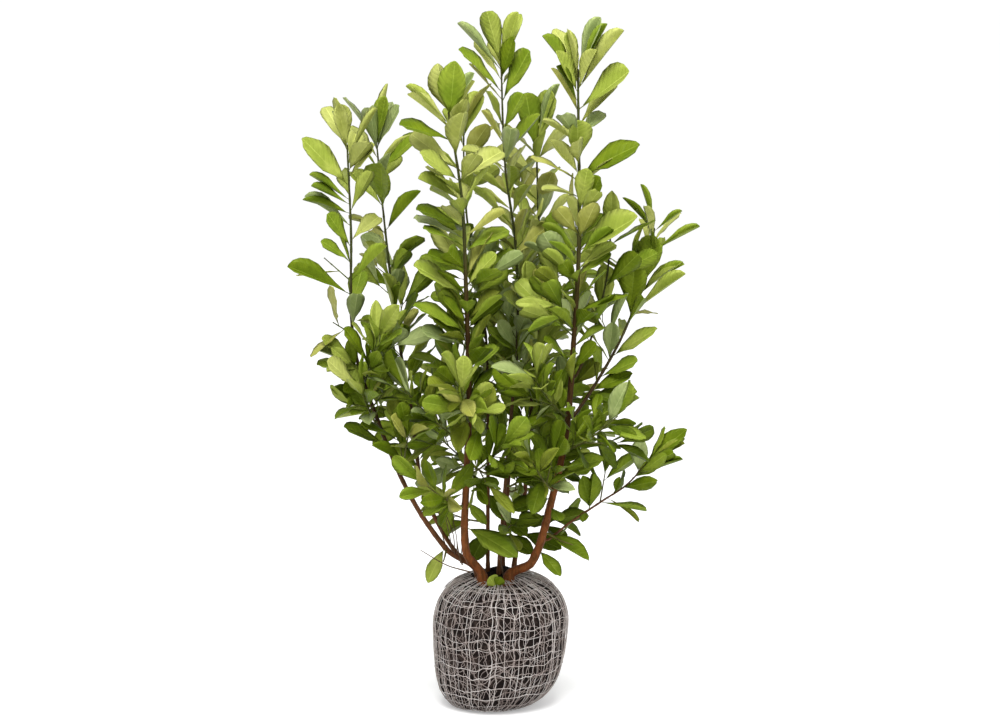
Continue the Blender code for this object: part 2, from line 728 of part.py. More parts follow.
def side_mass(name, spec, plant):
    """A mass on a side shoot that leaves square to its stem, then rises."""
    stem, height, bearing, rise, length = spec
    stem_route, stem_radius_at, _, tree = plant["limbs"][stem]
    foot_at = length_at_height(stem_route, height)
    point, along = at_length(stem_route, foot_at)
    outward = Vector((math.cos(math.radians(bearing)), math.sin(math.radians(bearing)), 0))
    outward = (outward - along * outward.dot(along)).normalized()
    lift = math.radians(rise)
    ahead = (outward * math.cos(lift) + Vector((0, 0, 1)) * math.sin(lift)).normalized()
    start = point + outward * stem_radius_at(foot_at)
    turned = start + outward * STRAIGHT_FOOT
    tip = turned + ahead * length + Vector((0, 0, SIDE_LIFT * length))
    route = smooth_route([start, turned, turned + ahead * length * SIDE_BEND, tip])
    radius_at = taper(SIDE_RADII, lengths_along(route)[-1])
    line = [*route[:2], *route[2:-1:2], route[-1]]
    habit = "foot" if name.endswith("foot") else "side"
    return Mass(name + "_leaves", seated(line, radius_at, tree), radius_at, habit, plant)


def main():
    clear_scene()
    collection = new_collection("cherry_laurel")
    plant = {
        "collection": collection,
        "grown": Grown(),
        "limbs": {},
        "leaves": {kind: leaf_mesh(kind) for kind in TIP_DROPS},
        "twig": twig_mesh(),
    }
    for piece in (root_ball(collection), string_net(collection)):
        points, tree = tree_of(piece.data, Matrix())
        plant["grown"].add(points, tree, (piece.name, "ball"))
    for name, spec in STEMS.items():
        bare_stem(name, spec, plant)

    masses = []
    for name, spec in STEMS.items():
        masses += crown_masses(name, spec, plant)
    for name, spec in BRANCHES.items():
        masses.append(branch(name, spec, plant))
    for name, spec in SIDE_SHOOTS.items():
        masses.append(side_mass(name, spec, plant))
    for mass in masses:
        mass.grow()
        mass.fuse()


main()
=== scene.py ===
"""The looks of a young cherry laurel on its netted root ball.

The growth rule is that of the solids, with the same seed, so that each leaf stands where its solid
stands, and it is then carried on to finer twigs and more leaves within the same reach.
Metres, +Z up, the plant's front is -Y. A bearing is measured in plan from +X, anticlockwise.
"""

import math
import random
from collections import namedtuple

import bmesh
import bpy
import numpy as np
from mathutils import Euler, Matrix, Vector, noise
from mathutils.bvhtree import BVHTree
from mathutils.geometry import interpolate_bezier


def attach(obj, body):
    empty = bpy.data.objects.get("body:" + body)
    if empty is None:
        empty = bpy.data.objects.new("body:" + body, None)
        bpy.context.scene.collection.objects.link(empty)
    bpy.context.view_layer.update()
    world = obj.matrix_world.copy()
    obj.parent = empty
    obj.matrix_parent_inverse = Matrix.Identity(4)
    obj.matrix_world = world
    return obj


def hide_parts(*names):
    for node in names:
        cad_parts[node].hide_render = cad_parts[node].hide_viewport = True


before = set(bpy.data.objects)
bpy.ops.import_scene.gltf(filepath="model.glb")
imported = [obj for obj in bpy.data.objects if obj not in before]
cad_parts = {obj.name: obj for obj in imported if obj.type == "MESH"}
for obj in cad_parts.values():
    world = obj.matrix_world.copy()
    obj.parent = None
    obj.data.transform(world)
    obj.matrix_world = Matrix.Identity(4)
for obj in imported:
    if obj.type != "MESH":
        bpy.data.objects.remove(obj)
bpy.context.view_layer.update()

SEED = 10

# Root ball: its surface, with two waves round it, and the level of its soil
BALL_RADIUS = 0.153
BALL_MIDDLE = 0.150
BALL_RISE = 0.155
BALL_DROP = 0.161
BALL_SQUARENESS = 2.8
BALL_LEAN = 0.055
BALL_WAVES = ((2, 0.7, 0, 0.016), (5, 0, 4, 0.008))
SOIL_TOP = 0.297

# Limbs and shoots of the solids
JOINT_GAP = 0.0003
WELD = 1e-5
FLARE = 0.25
FLARE_HEIGHT = 0.02
FLARED_FROM = 0.0045
TAPER_POWER = 0.8
STEP = 0.04
SQUARE_END = 0.005
SHOOT_SIDES = 3
SHOOT_EVERY = 2

# The solids' leaf, which the growth is tested with, in shares of its length
LEAF_LENGTH = 0.126
LEAF_WIDTH = 0.47
LEAF_THICKNESS = 0.026
WIDEST_AT = 0.66
TIP_WIDTH = 0.20
TIP_DROPS = {"flat": 0.0, "arched": 0.07, "drooping": 0.14}
LEAF_KINDS = ("flat", "arched", "arched", "drooping")

# How leaves sit on a shoot. Angles are in degrees, and each spread is the range of a chance factor
TURN = 137.5
LOW_SPLAY = 58
CLUSTER_SPLAY = 42
TOP_SPLAY = 20
ANGLE_SPREAD = 8
LEAF_ROLL = 38
SKY_PULL = 0.22
ROOT_DEPTH = 0.4
SIZE_SPREAD = (0.82, 1.04)
SPACING_SPREAD = (0.85, 1.15)
CLUSTER_SPACING = 0.011
TIP_MARGIN = 0.001

# Side twigs on a shoot, where a twig's leaves stand, and how young the last of them looks
TWIG_RADII = (0.0018, 0.0012)
TWIG_RISE = 48
TWIG_LENGTH = 0.075
TWIG_SPACING = 0.115
TWIG_SPLAY = 52
TWIG_LEAVES_AT = (0.45, 0.72, 0.9, 0.985)
YOUNG_ON_TWIG = 0.5

# What grows on each kind of shoot, as in the solids: the leaves' size and spacing, how many stand at
# the tip, and the lengths at foot and tip that have no leaves and no twigs
HABITS = {
    "top": dict(size=1.0, spacing=0.030, cluster=6, no_leaves=(0.03, 0.066), no_twigs=None),
    "middle": dict(size=1.0, spacing=0.034, cluster=0, no_leaves=(0.015, 0.008), no_twigs=(0.03, 0.03)),
    "side": dict(size=0.94, spacing=0.025, cluster=5, no_leaves=(0.035, 0.055), no_twigs=(0.05, 0.05)),
    "branch": dict(size=1.0, spacing=0.030, cluster=6, no_leaves=(0.03, 0.066), no_twigs=(0.06, 0.12)),
    "foot": dict(size=0.86, spacing=0.025, cluster=3, no_leaves=(0.035, 0.045), no_twigs=None),
}

# Room that growth keeps, as in the solids: a mass's reach, the distance to the soil, how a leaf or
# twig is enlarged in length, width and height for the test and how much of its root isn't tested, and
# how often and how far it swings round its shoot to find a place
SPACE_RADIUS = 0.165
SOIL_ROOM = 0.012
TEST_SCALE = (1.02, 1.04, 1.5)
LEAF_ROOT_SHARE = 0.09
TWIG_ROOT_SHARE = 0.15
TRIES = 7
SWING = 17

# The finer growth that the solids leave out: the shares of the first leaves' spacing and size, the
# twigs and how far they keep from the shoot's ends, the share of the bare lengths that stays bare, the
# masses that stay open, and how far up a top shoot the finer leaves go
FINE_SHARES = {"top": (0.75, 0.86), "middle": (0.6, 0.82), "side": (0.5, 0.74)}
FINE_TWIG_LENGTH = 0.05
FINE_TWIG_SPACING = 0.045
FINE_TWIG_THICKNESS = 0.75
FINE_TWIG_ENDS = (0.02, 0.03)
FINE_BARE = 0.5
FINE_TEST = (0.97, 0.9, 1.0)
OPEN_KINDS = ("branch", "foot")
OPEN_MASSES = ("left_outer_middle_leaves", "left_outer_top_leaves", "left_outer_side_low_leaves",
               "left_inner_side_low_leaves", "left_inner_top_leaves", "back_left_foot_leaves",
               "front_side_low_leaves")
OPEN_TOP = 0.55

# How a drawn leaf differs from its solid: the most that it is turned about each axis in degrees, the
# range of its width, the masses with narrow leaves, and its size near the ground, with the heights
# between which it grows to full
LOOK_TURNS = (24, 11, 9)
LOOK_WIDTHS = (0.74, 1.06)
NARROW = {"right_upper_leaves": 0.5, "right_low_leaves": 0.75, "centre_top_leaves": 0.78,
          "front_right_top_leaves": 0.85, "left_outer_top_leaves": 0.85, "left_inner_top_leaves": 0.85}
LOW_SIZE = 0.82
LOW_HEIGHTS = (0.5, 0.95)

# Each stem: knots (x, y, z) from foot to tip, foot and tip radii, and the heights where its bare
# limb ends and where its middle mass ends
STEMS = {
    "front_stem": dict(
        knots=((-0.040, -0.036, SOIL_TOP), (-0.076, -0.056, 0.36), (-0.075, -0.085, 0.53),
               (-0.068, -0.118, 0.69), (-0.074, -0.165, 0.96), (-0.082, -0.192, 1.15),
               (-0.110, -0.200, 1.335)),
        radii=(0.0100, 0.0022), bare=0.70, middle=1.01),
    "front_right_stem": dict(
        knots=((0.020, -0.034, SOIL_TOP), (0.072, -0.045, 0.335), (0.110, -0.060, 0.455),
               (0.147, -0.090, 0.635), (0.162, -0.120, 0.84), (0.172, -0.148, 1.06), (0.168, -0.160, 1.43)),
        radii=(0.0105, 0.0023), bare=0.82, middle=1.10),
    "left_outer_stem": dict(
        knots=((-0.050, -0.012, SOIL_TOP), (-0.121, -0.022, 0.36), (-0.206, -0.030, 0.49),
               (-0.287, -0.040, 0.69), (-0.328, -0.050, 0.84), (-0.331, -0.060, 1.09),
               (-0.338, -0.062, 1.27)),
        radii=(0.0068, 0.0020), bare=0.82, middle=1.03),
    "left_inner_stem": dict(
        knots=((-0.042, 0.018, SOIL_TOP), (-0.105, 0.024, 0.35), (-0.176, 0.040, 0.49),
               (-0.205, 0.060, 0.68), (-0.236, 0.078, 0.85), (-0.266, 0.100, 1.10), (-0.284, 0.105, 1.29)),
        radii=(0.0056, 0.0019), bare=0.72, middle=1.01),
    "centre_stem": dict(
        knots=((-0.002, 0.016, SOIL_TOP), (0.006, 0.020, 0.42), (0.020, 0.020, 0.60),
               (0.040, 0.018, 0.85), (0.034, 0.010, 1.06), (0.012, 0.0, 1.22), (0.002, 0.0, 1.462)),
        radii=(0.0052, 0.0020), bare=0.72, middle=1.10),
    "back_right_stem": dict(
        knots=((0.032, 0.036, SOIL_TOP), (0.052, 0.062, 0.42), (0.064, 0.095, 0.56),
               (0.080, 0.150, 0.76), (0.097, 0.205, 0.97), (0.090, 0.240, 1.14), (0.086, 0.255, 1.30)),
        radii=(0.0060, 0.0020), bare=0.70, middle=1.00),
    "back_left_stem": dict(
        knots=((-0.028, 0.036, SOIL_TOP), (-0.028, 0.066, 0.42), (-0.028, 0.105, 0.57),
               (-0.032, 0.160, 0.82), (-0.058, 0.190, 0.97), (-0.082, 0.215, 1.15), (-0.086, 0.225, 1.32)),
        radii=(0.0050, 0.0019), bare=0.70, middle=1.00),
    "rear_stem": dict(
        knots=((0.006, 0.050, SOIL_TOP), (0.012, 0.100, 0.39), (0.022, 0.190, 0.52),
               (0.036, 0.275, 0.70), (0.046, 0.330, 0.88), (0.052, 0.350, 1.03), (0.050, 0.352, 1.18)),
        radii=(0.0056, 0.0019), bare=0.66, middle=0.92),
}

# Long branches: the stem and height that each leaves, its knots, radii and bare length
BRANCHES = {
    "right_upper_branch": dict(
        stem="front_right_stem", height=0.665,
        knots=((0.196, -0.072, 0.715), (0.262, -0.028, 0.82), (0.302, 0.0, 0.905),
               (0.338, 0.018, 1.0), (0.349, 0.022, 1.085)),
        radii=(0.0042, 0.0018), bare=0.13),
    "right_inner_branch": dict(
        stem="front_right_stem", height=0.755,
        knots=((0.186, -0.092, 0.80), (0.216, -0.082, 0.89), (0.238, -0.076, 0.99), (0.248, -0.074, 1.14)),
        radii=(0.0032, 0.0017), bare=0.06),
    "right_low_branch": dict(
        stem="front_right_stem", height=0.385,
        knots=((0.154, -0.046, 0.424), (0.232, -0.036, 0.475), (0.282, -0.030, 0.507),
               (0.335, -0.030, 0.565)),
        radii=(0.0030, 0.0016), bare=0.09),
}

# Side shoots: stem, height, bearing, rise in degrees, length. A foot shoot has few leaves
SIDE_SHOOTS = {
    "front_side_low": ("front_stem", 0.47, 225, 28, 0.11),
    "front_side_middle": ("front_stem", 0.545, 300, 32, 0.15),
    "front_side_left": ("front_stem", 0.615, 190, 38, 0.16),
    "front_side_high": ("front_stem", 0.665, 265, 35, 0.16),
    "front_right_foot": ("front_right_stem", 0.405, 335, -8, 0.06),
    "front_right_side_low": ("front_right_stem", 0.505, 250, 30, 0.14),
    "front_right_side": ("front_right_stem", 0.60, 315, 35, 0.16),
    "front_right_side_middle": ("front_right_stem", 0.675, 235, 35, 0.14),
    "left_outer_foot": ("left_outer_stem", 0.36, 250, -12, 0.045),
    "left_outer_side_low": ("left_outer_stem", 0.535, 285, 40, 0.13),
    "left_outer_side": ("left_outer_stem", 0.655, 245, 48, 0.10),
    "left_outer_side_high": ("left_outer_stem", 0.745, 290, 40, 0.14),
    "left_inner_side_low": ("left_inner_stem", 0.50, 100, 38, 0.14),
    "left_inner_side": ("left_inner_stem", 0.62, 125, 35, 0.16),
    "centre_foot": ("centre_stem", 0.40, 285, 12, 0.07),
    "centre_side_low": ("centre_stem", 0.50, 340, 35, 0.15),
    "centre_side": ("centre_stem", 0.62, 20, 35, 0.18),
    "back_right_foot": ("back_right_stem", 0.41, 20, 10, 0.08),
    "back_right_side_low": ("back_right_stem", 0.52, 35, 35, 0.17),
    "back_right_side": ("back_right_stem", 0.62, 65, 35, 0.19),
    "back_left_foot": ("back_left_stem", 0.41, 165, 10, 0.08),
    "back_left_side_low": ("back_left_stem", 0.52, 155, 35, 0.16),
    "back_left_side": ("back_left_stem", 0.62, 120, 35, 0.19),
    "rear_side_low": ("rear_stem", 0.47, 50, 35, 0.15),
    "rear_side": ("rear_stem", 0.58, 110, 35, 0.17),
}
SIDE_RADII = (0.0026, 0.0015)
SIDE_BEND = 0.45
SIDE_LIFT = 0.10

# How a side shoot or branch sits on its stem, as in the solids
STRAIGHT_FOOT = 0.008
BRANCH_SQUARE = 0.6
SEAT_RINGS = 5
SEAT_RAYS = 16
SEAT_REACH = 0.02

# Bark: the drawn limb's steps and sides, how far it runs into what carries it and past its tip, how
# thin the tip ends, its buds' spacing from foot to tip, their sizes, reach and swelling, and the sizes
# and depths of its two reliefs
BARK_STEP = 0.006
BARK_SIDES = 16
SHOOT_BARK_SIDES = 8
DRY_TWIG_SIDES = 6
SUNK = 0.004
SUNK_IN_SOIL = 0.020
SUNK_DRY_TWIG = 0.002
PAST_TIP = 0.002
ROUNDED_TIP = 0.45
FIRST_BUD = (0.01, 0.04)
BUD_SPACING = (0.045, 0.030)
BUD_SPREAD = (0.8, 1.2)
BUD_SIZES = (0.5, 1.0)
BUD_REACH = 0.0035
BUD_ENDS = 4
BUD_SWELL = 0.16
BARK_RELIEFS = ((0.018, 0.0012), (0.004, 0.0006))
BARK_CREASE = 50
THICK_STEMS = ("front_stem", "front_right_stem")

# Drawn leaf: shares of its length where its rows stand, and each outline's half width there as a
# share of the widest. Ovals are OVAL_SHARES of the leaves below and above these heights, dealt out by
# each leaf's number
ROWS = (0.09, 0.27, 0.45, 0.62, 0.78, 0.90, 0.975, 1.0)
OUTLINES = {
    "spoon": (0.05, 0.27, 0.65, 0.93, 1.0, 0.85, 0.50, 0.16),
    "oval": (0.05, 0.46, 0.88, 1.0, 0.87, 0.58, 0.26, 0.06),
}
OVAL_HEIGHTS = (0.45, 1.0)
OVAL_SHARES = (0.75, 0.2)
OVAL_DEAL = 0.618
BLADE_WIDTH = 0.45
BLADE_THICKNESS = 0.006
BLADE_WELD = 1e-4
BLADE_COLUMNS = 4
RIPPLE_TURN = 2.3

# While a blade is drawn, its rows are parked this far off and one apart, so that each is picked alone
PARKED = 10
ROW_REACH = 0.01
COLUMN_REACH = 0.1

# The rib under the blade: its radii, length and bends, and how deep it sits in the blade's thickness
RIB_RADII = (0.0095, 0.0030)
RIB_LENGTH = 0.92
RIB_BENDS = (0.35, 0.65)
RIB_SUNK = 0.3

# Drawn twig: places along it and the radius there as a share, with swellings at its foot, at two buds
# and at its tip
TWIG_SIDES = 6
STATION_REACH = 0.004
TWIG_STATIONS = (
    (0.0, 1.25), (0.06, 1.0), (0.42, 0.9), (0.46, 1.15), (0.5, 0.85), (0.70, 0.8), (0.73, 1.05),
    (0.76, 0.75), (0.97, 0.68), (0.985, 1.0), (1.0, 0.35),
)

# Drawn leaf shapes: how steeply the halves fold up, how much their edges cup, the drop of the tip,
# the twist from root to tip in degrees and the size of the waves along the edge
LEAF_SHAPES = {
    "flat": dict(fold=0.20, cup=0.06, drop=0.0, twist=8, wave=0.016),
    "folded": dict(fold=0.75, cup=-0.08, drop=0.0, twist=-6, wave=0.008),
    "cupped": dict(fold=0.28, cup=0.30, drop=-0.05, twist=0, wave=0.006),
    "arched": dict(fold=0.38, cup=-0.06, drop=0.07, twist=-10, wave=0.016),
    "arched_folded": dict(fold=0.72, cup=-0.10, drop=0.07, twist=10, wave=0.008),
    "drooping": dict(fold=0.34, cup=-0.18, drop=0.14, twist=14, wave=0.018),
    "drooping_folded": dict(fold=0.62, cup=-0.20, drop=0.16, twist=-8, wave=0.010),
}
SHAPES_OF_KIND = {
    "flat": ("flat", "folded", "cupped"),
    "arched": ("arched", "arched_folded", "flat"),
    "drooping": ("drooping", "drooping_folded", "drooping"),
}

# Leaf tints from the lowest and oldest to the youngest, then odd ones. The darker tints are partly
# painted shade, and the darkest, dark, is mostly painted shade. A leaf's level in the first five rises
# with its height and at a shoot's tip, and a share of leaves takes an odd tint instead
LEAF_TINTS = ("dark", "deep", "grown", "fresh", "young", "cool", "olive", "ochre")
YOUNG_UNDER = ("fresh", "young", "ochre")
TOP_LEVEL = 4
TINT_START = 0.1
TINT_RISE = 3.4
TINT_HEIGHTS = (0.38, 1.23)
TINT_YOUNG = 0.9
TINT_SPREAD = 1.1
SPRAY_SPREAD = 0.6
ODD_SHARE = 0.26
# The pale bluish odd tint is a painted sheen, the white sky's reflection painted into a leaf's colour
ODD_TINTS = (("deep", "olive"), ("cool", "olive"), ("cool", "olive", "ochre"), ("cool", "ochre"),
             ("cool", "ochre"))
FOLIAGE_FINISHES = (*[tint + "_leaf" for tint in LEAF_TINTS], "grown_underside", "young_underside",
                    "leaf_rib")

# Colours of each leaf tint, dark and light, with its roughness and gloss
LEAF_COLOURS = {
    # The darkest tint is mostly painted shade, for leaves deep and low in the crown
    "dark": ((0.065, 0.102, 0.004), (0.106, 0.150, 0.008), 0.40, 0.14),
    "deep": ((0.098, 0.150, 0.005), (0.152, 0.208, 0.010), 0.40, 0.16),
    "grown": ((0.148, 0.220, 0.013), (0.220, 0.290, 0.025), 0.42, 0.24),
    "fresh": ((0.255, 0.320, 0.042), (0.345, 0.400, 0.072), 0.44, 0.30),
    "young": ((0.335, 0.370, 0.078), (0.430, 0.460, 0.125), 0.46, 0.30),
    # A pale bluish green with more gloss: a painted sheen, the white sky's reflection painted into the
    # colour
    "cool": ((0.235, 0.300, 0.100), (0.330, 0.390, 0.150), 0.38, 0.40),
    "olive": ((0.165, 0.200, 0.015), (0.235, 0.275, 0.030), 0.46, 0.30),
    "ochre": ((0.300, 0.310, 0.055), (0.380, 0.385, 0.095), 0.50, 0.30),
}
# Undersides: paler than the upper sides, as the real leaf's are, and bluer, as a painted reflection of the
# white sky
UNDER_COLOURS = {
    "grown": ((0.205, 0.265, 0.100), (0.285, 0.345, 0.145), 0.6, 0.30),
    "young": ((0.310, 0.365, 0.130), (0.390, 0.440, 0.180), 0.6, 0.30),
}
RIB_COLOURS = ((0.350, 0.400, 0.110), (0.440, 0.480, 0.160))
GLOSS_TINT = (0.92, 1.0, 0.40, 1)

# Bark: colours at the foot, above and at the tips, the heights between which they change, and how
# much finer the pattern is than on a thick stem
BARK_COLOURS = {
    "stem_bark": ((0.172, 0.048, 0.014), (0.064, 0.028, 0.011), (0.045, 0.055, 0.016),
                  (0.46, 0.72, 0.80, 1.15), 1.0),
    "thin_stem_bark": ((0.140, 0.050, 0.022), (0.055, 0.026, 0.013), (0.045, 0.055, 0.016),
                       (0.40, 0.62, 0.70, 1.0), 1.6),
    "shoot_bark": ((0.150, 0.130, 0.035), (0.110, 0.110, 0.030), (0.110, 0.150, 0.028),
                   (0.30, 0.6, 0.5, 0.9), 1.0),
    "dry_twig": ((0.130, 0.075, 0.045), (0.080, 0.050, 0.032), (0.07, 0.06, 0.03),
                 (0.30, 0.6, 1.0, 1.2), 1.0),
}
PORE_COLOUR = (0.30, 0.17, 0.09)
PORE_SCALE = 150.0
SOIL_COLOURS = ((0.010, 0.006, 0.005), (0.065, 0.046, 0.038))
STRING_COLOURS = {
    "net_string": ((0.71, 0.665, 0.64), (0.45, 0.37, 0.335)),
    "fine_string": ((0.44, 0.375, 0.345), (0.22, 0.165, 0.145)),
}

# Patches of the finishes: scale, and where their edge begins and ends
BROAD_PATCHES = (16.0, 0.38, 0.62)
LEAF_MOTTLE = (70.0, 0.3, 0.7)
RIB_PATCHES = (40.0, 0.4, 0.6)
BARK_STREAKS = (150.0, 0.40, 0.60)
BARK_BLOTCHES = (55.0, 0.45, 0.62)
DRY_PATCHES = (42.0, 0.47, 0.62)
SOIL_SPECKS = (210.0, 0.42, 0.64)
STRING_STAINS = (24.0, 0.42, 0.68)
STRING_SPECKS = (160.0, 0.35, 0.7)

# String net: each kind of string with its count, radius, the most that it stands proud, how far it
# wanders in degrees, and its finish. Uprights also have the latitude that they end at, on average.
# Gathers are short uprights near the mouth
UPRIGHTS = (
    (54, 0.00070, 0.0024, 2.2, 71, "net_string"),
    (72, 0.00056, 0.0016, 7.0, 62, "fine_string"),
    (40, 0.00052, 0.0010, 12.0, 50, "fine_string"),
)
LEVELS = (
    (16, 0.00062, 0.0024, 4.5, "net_string"),
    (24, 0.00052, 0.0012, 12.0, "fine_string"),
)
GATHERS = (64, 0.00060, 0.0040, 3.0, 67, "net_string")

# How the strings vary: the range of a radius, the spread of an end and the steps in degrees, the least
# that a string stands proud, the shift of its place as a share of the spacing, and its sways as scale,
# layer and size, read from a chance start
STRING_SPREAD = (0.7, 1.3)
END_SPREAD = 8
STRING_STEP = 3
STRING_LEAST_PROUD = 0.0002
UPRIGHT_SHIFT = 0.4
LEVEL_SHIFT = 0.25
UPRIGHT_SWAYS = ((16, 0, 1.0), (5, 7, 0.5))
LEVEL_SWAYS = ((2.2, 1.0), (9, 0.4))
SWAY_STARTS = (0, 50)

# The net's lowest and highest latitudes, the bearing where its uprights end higher and by how much,
# and the latitude where the gathers start
NET_LOW = -58
NET_HIGH = 71
NET_HIGHER = (-20, 5)
GATHERED_FROM = 42

# Mouth: how far its front rim dips, and the height and depth where the dip starts. Below DRAWN_FROM
# the ball is drawn in by a share of its width and slumps to the left, mostly at its foot
MOUTH_RADIUS = 0.062
RIM_DIP = 0.014
DRAWN_FROM = 0.20
DRAWN_IN = 0.05
SLUMP = 0.020
SLUMP_CURVE = 4
DIP_FROM = 0.235
DIP_BACK = 0.02

# Soil: how far it lies below the mouth's level, its mounds and hollow there as (x, y), height and
# reach, how far it lies under the net and above the floor before its reliefs, their sizes and depths,
# the angle of its creases, and the drawn ball's steps
SOIL_SINK = 0.004
SOIL_SHAPES = (((0.004, 0.045), 0.017, 0.036), ((0.052, 0.004), 0.008, 0.022),
               ((-0.008, -0.030), -0.007, 0.034))
SOIL_UNDER_NET = 0.002
SOIL_FLOOR = 0.0025
SOIL_RELIEFS = ((0.020, 0.005), (0.006, 0.0035))
SOIL_CREASE = 60
SOIL_STEPS = (112, 96)
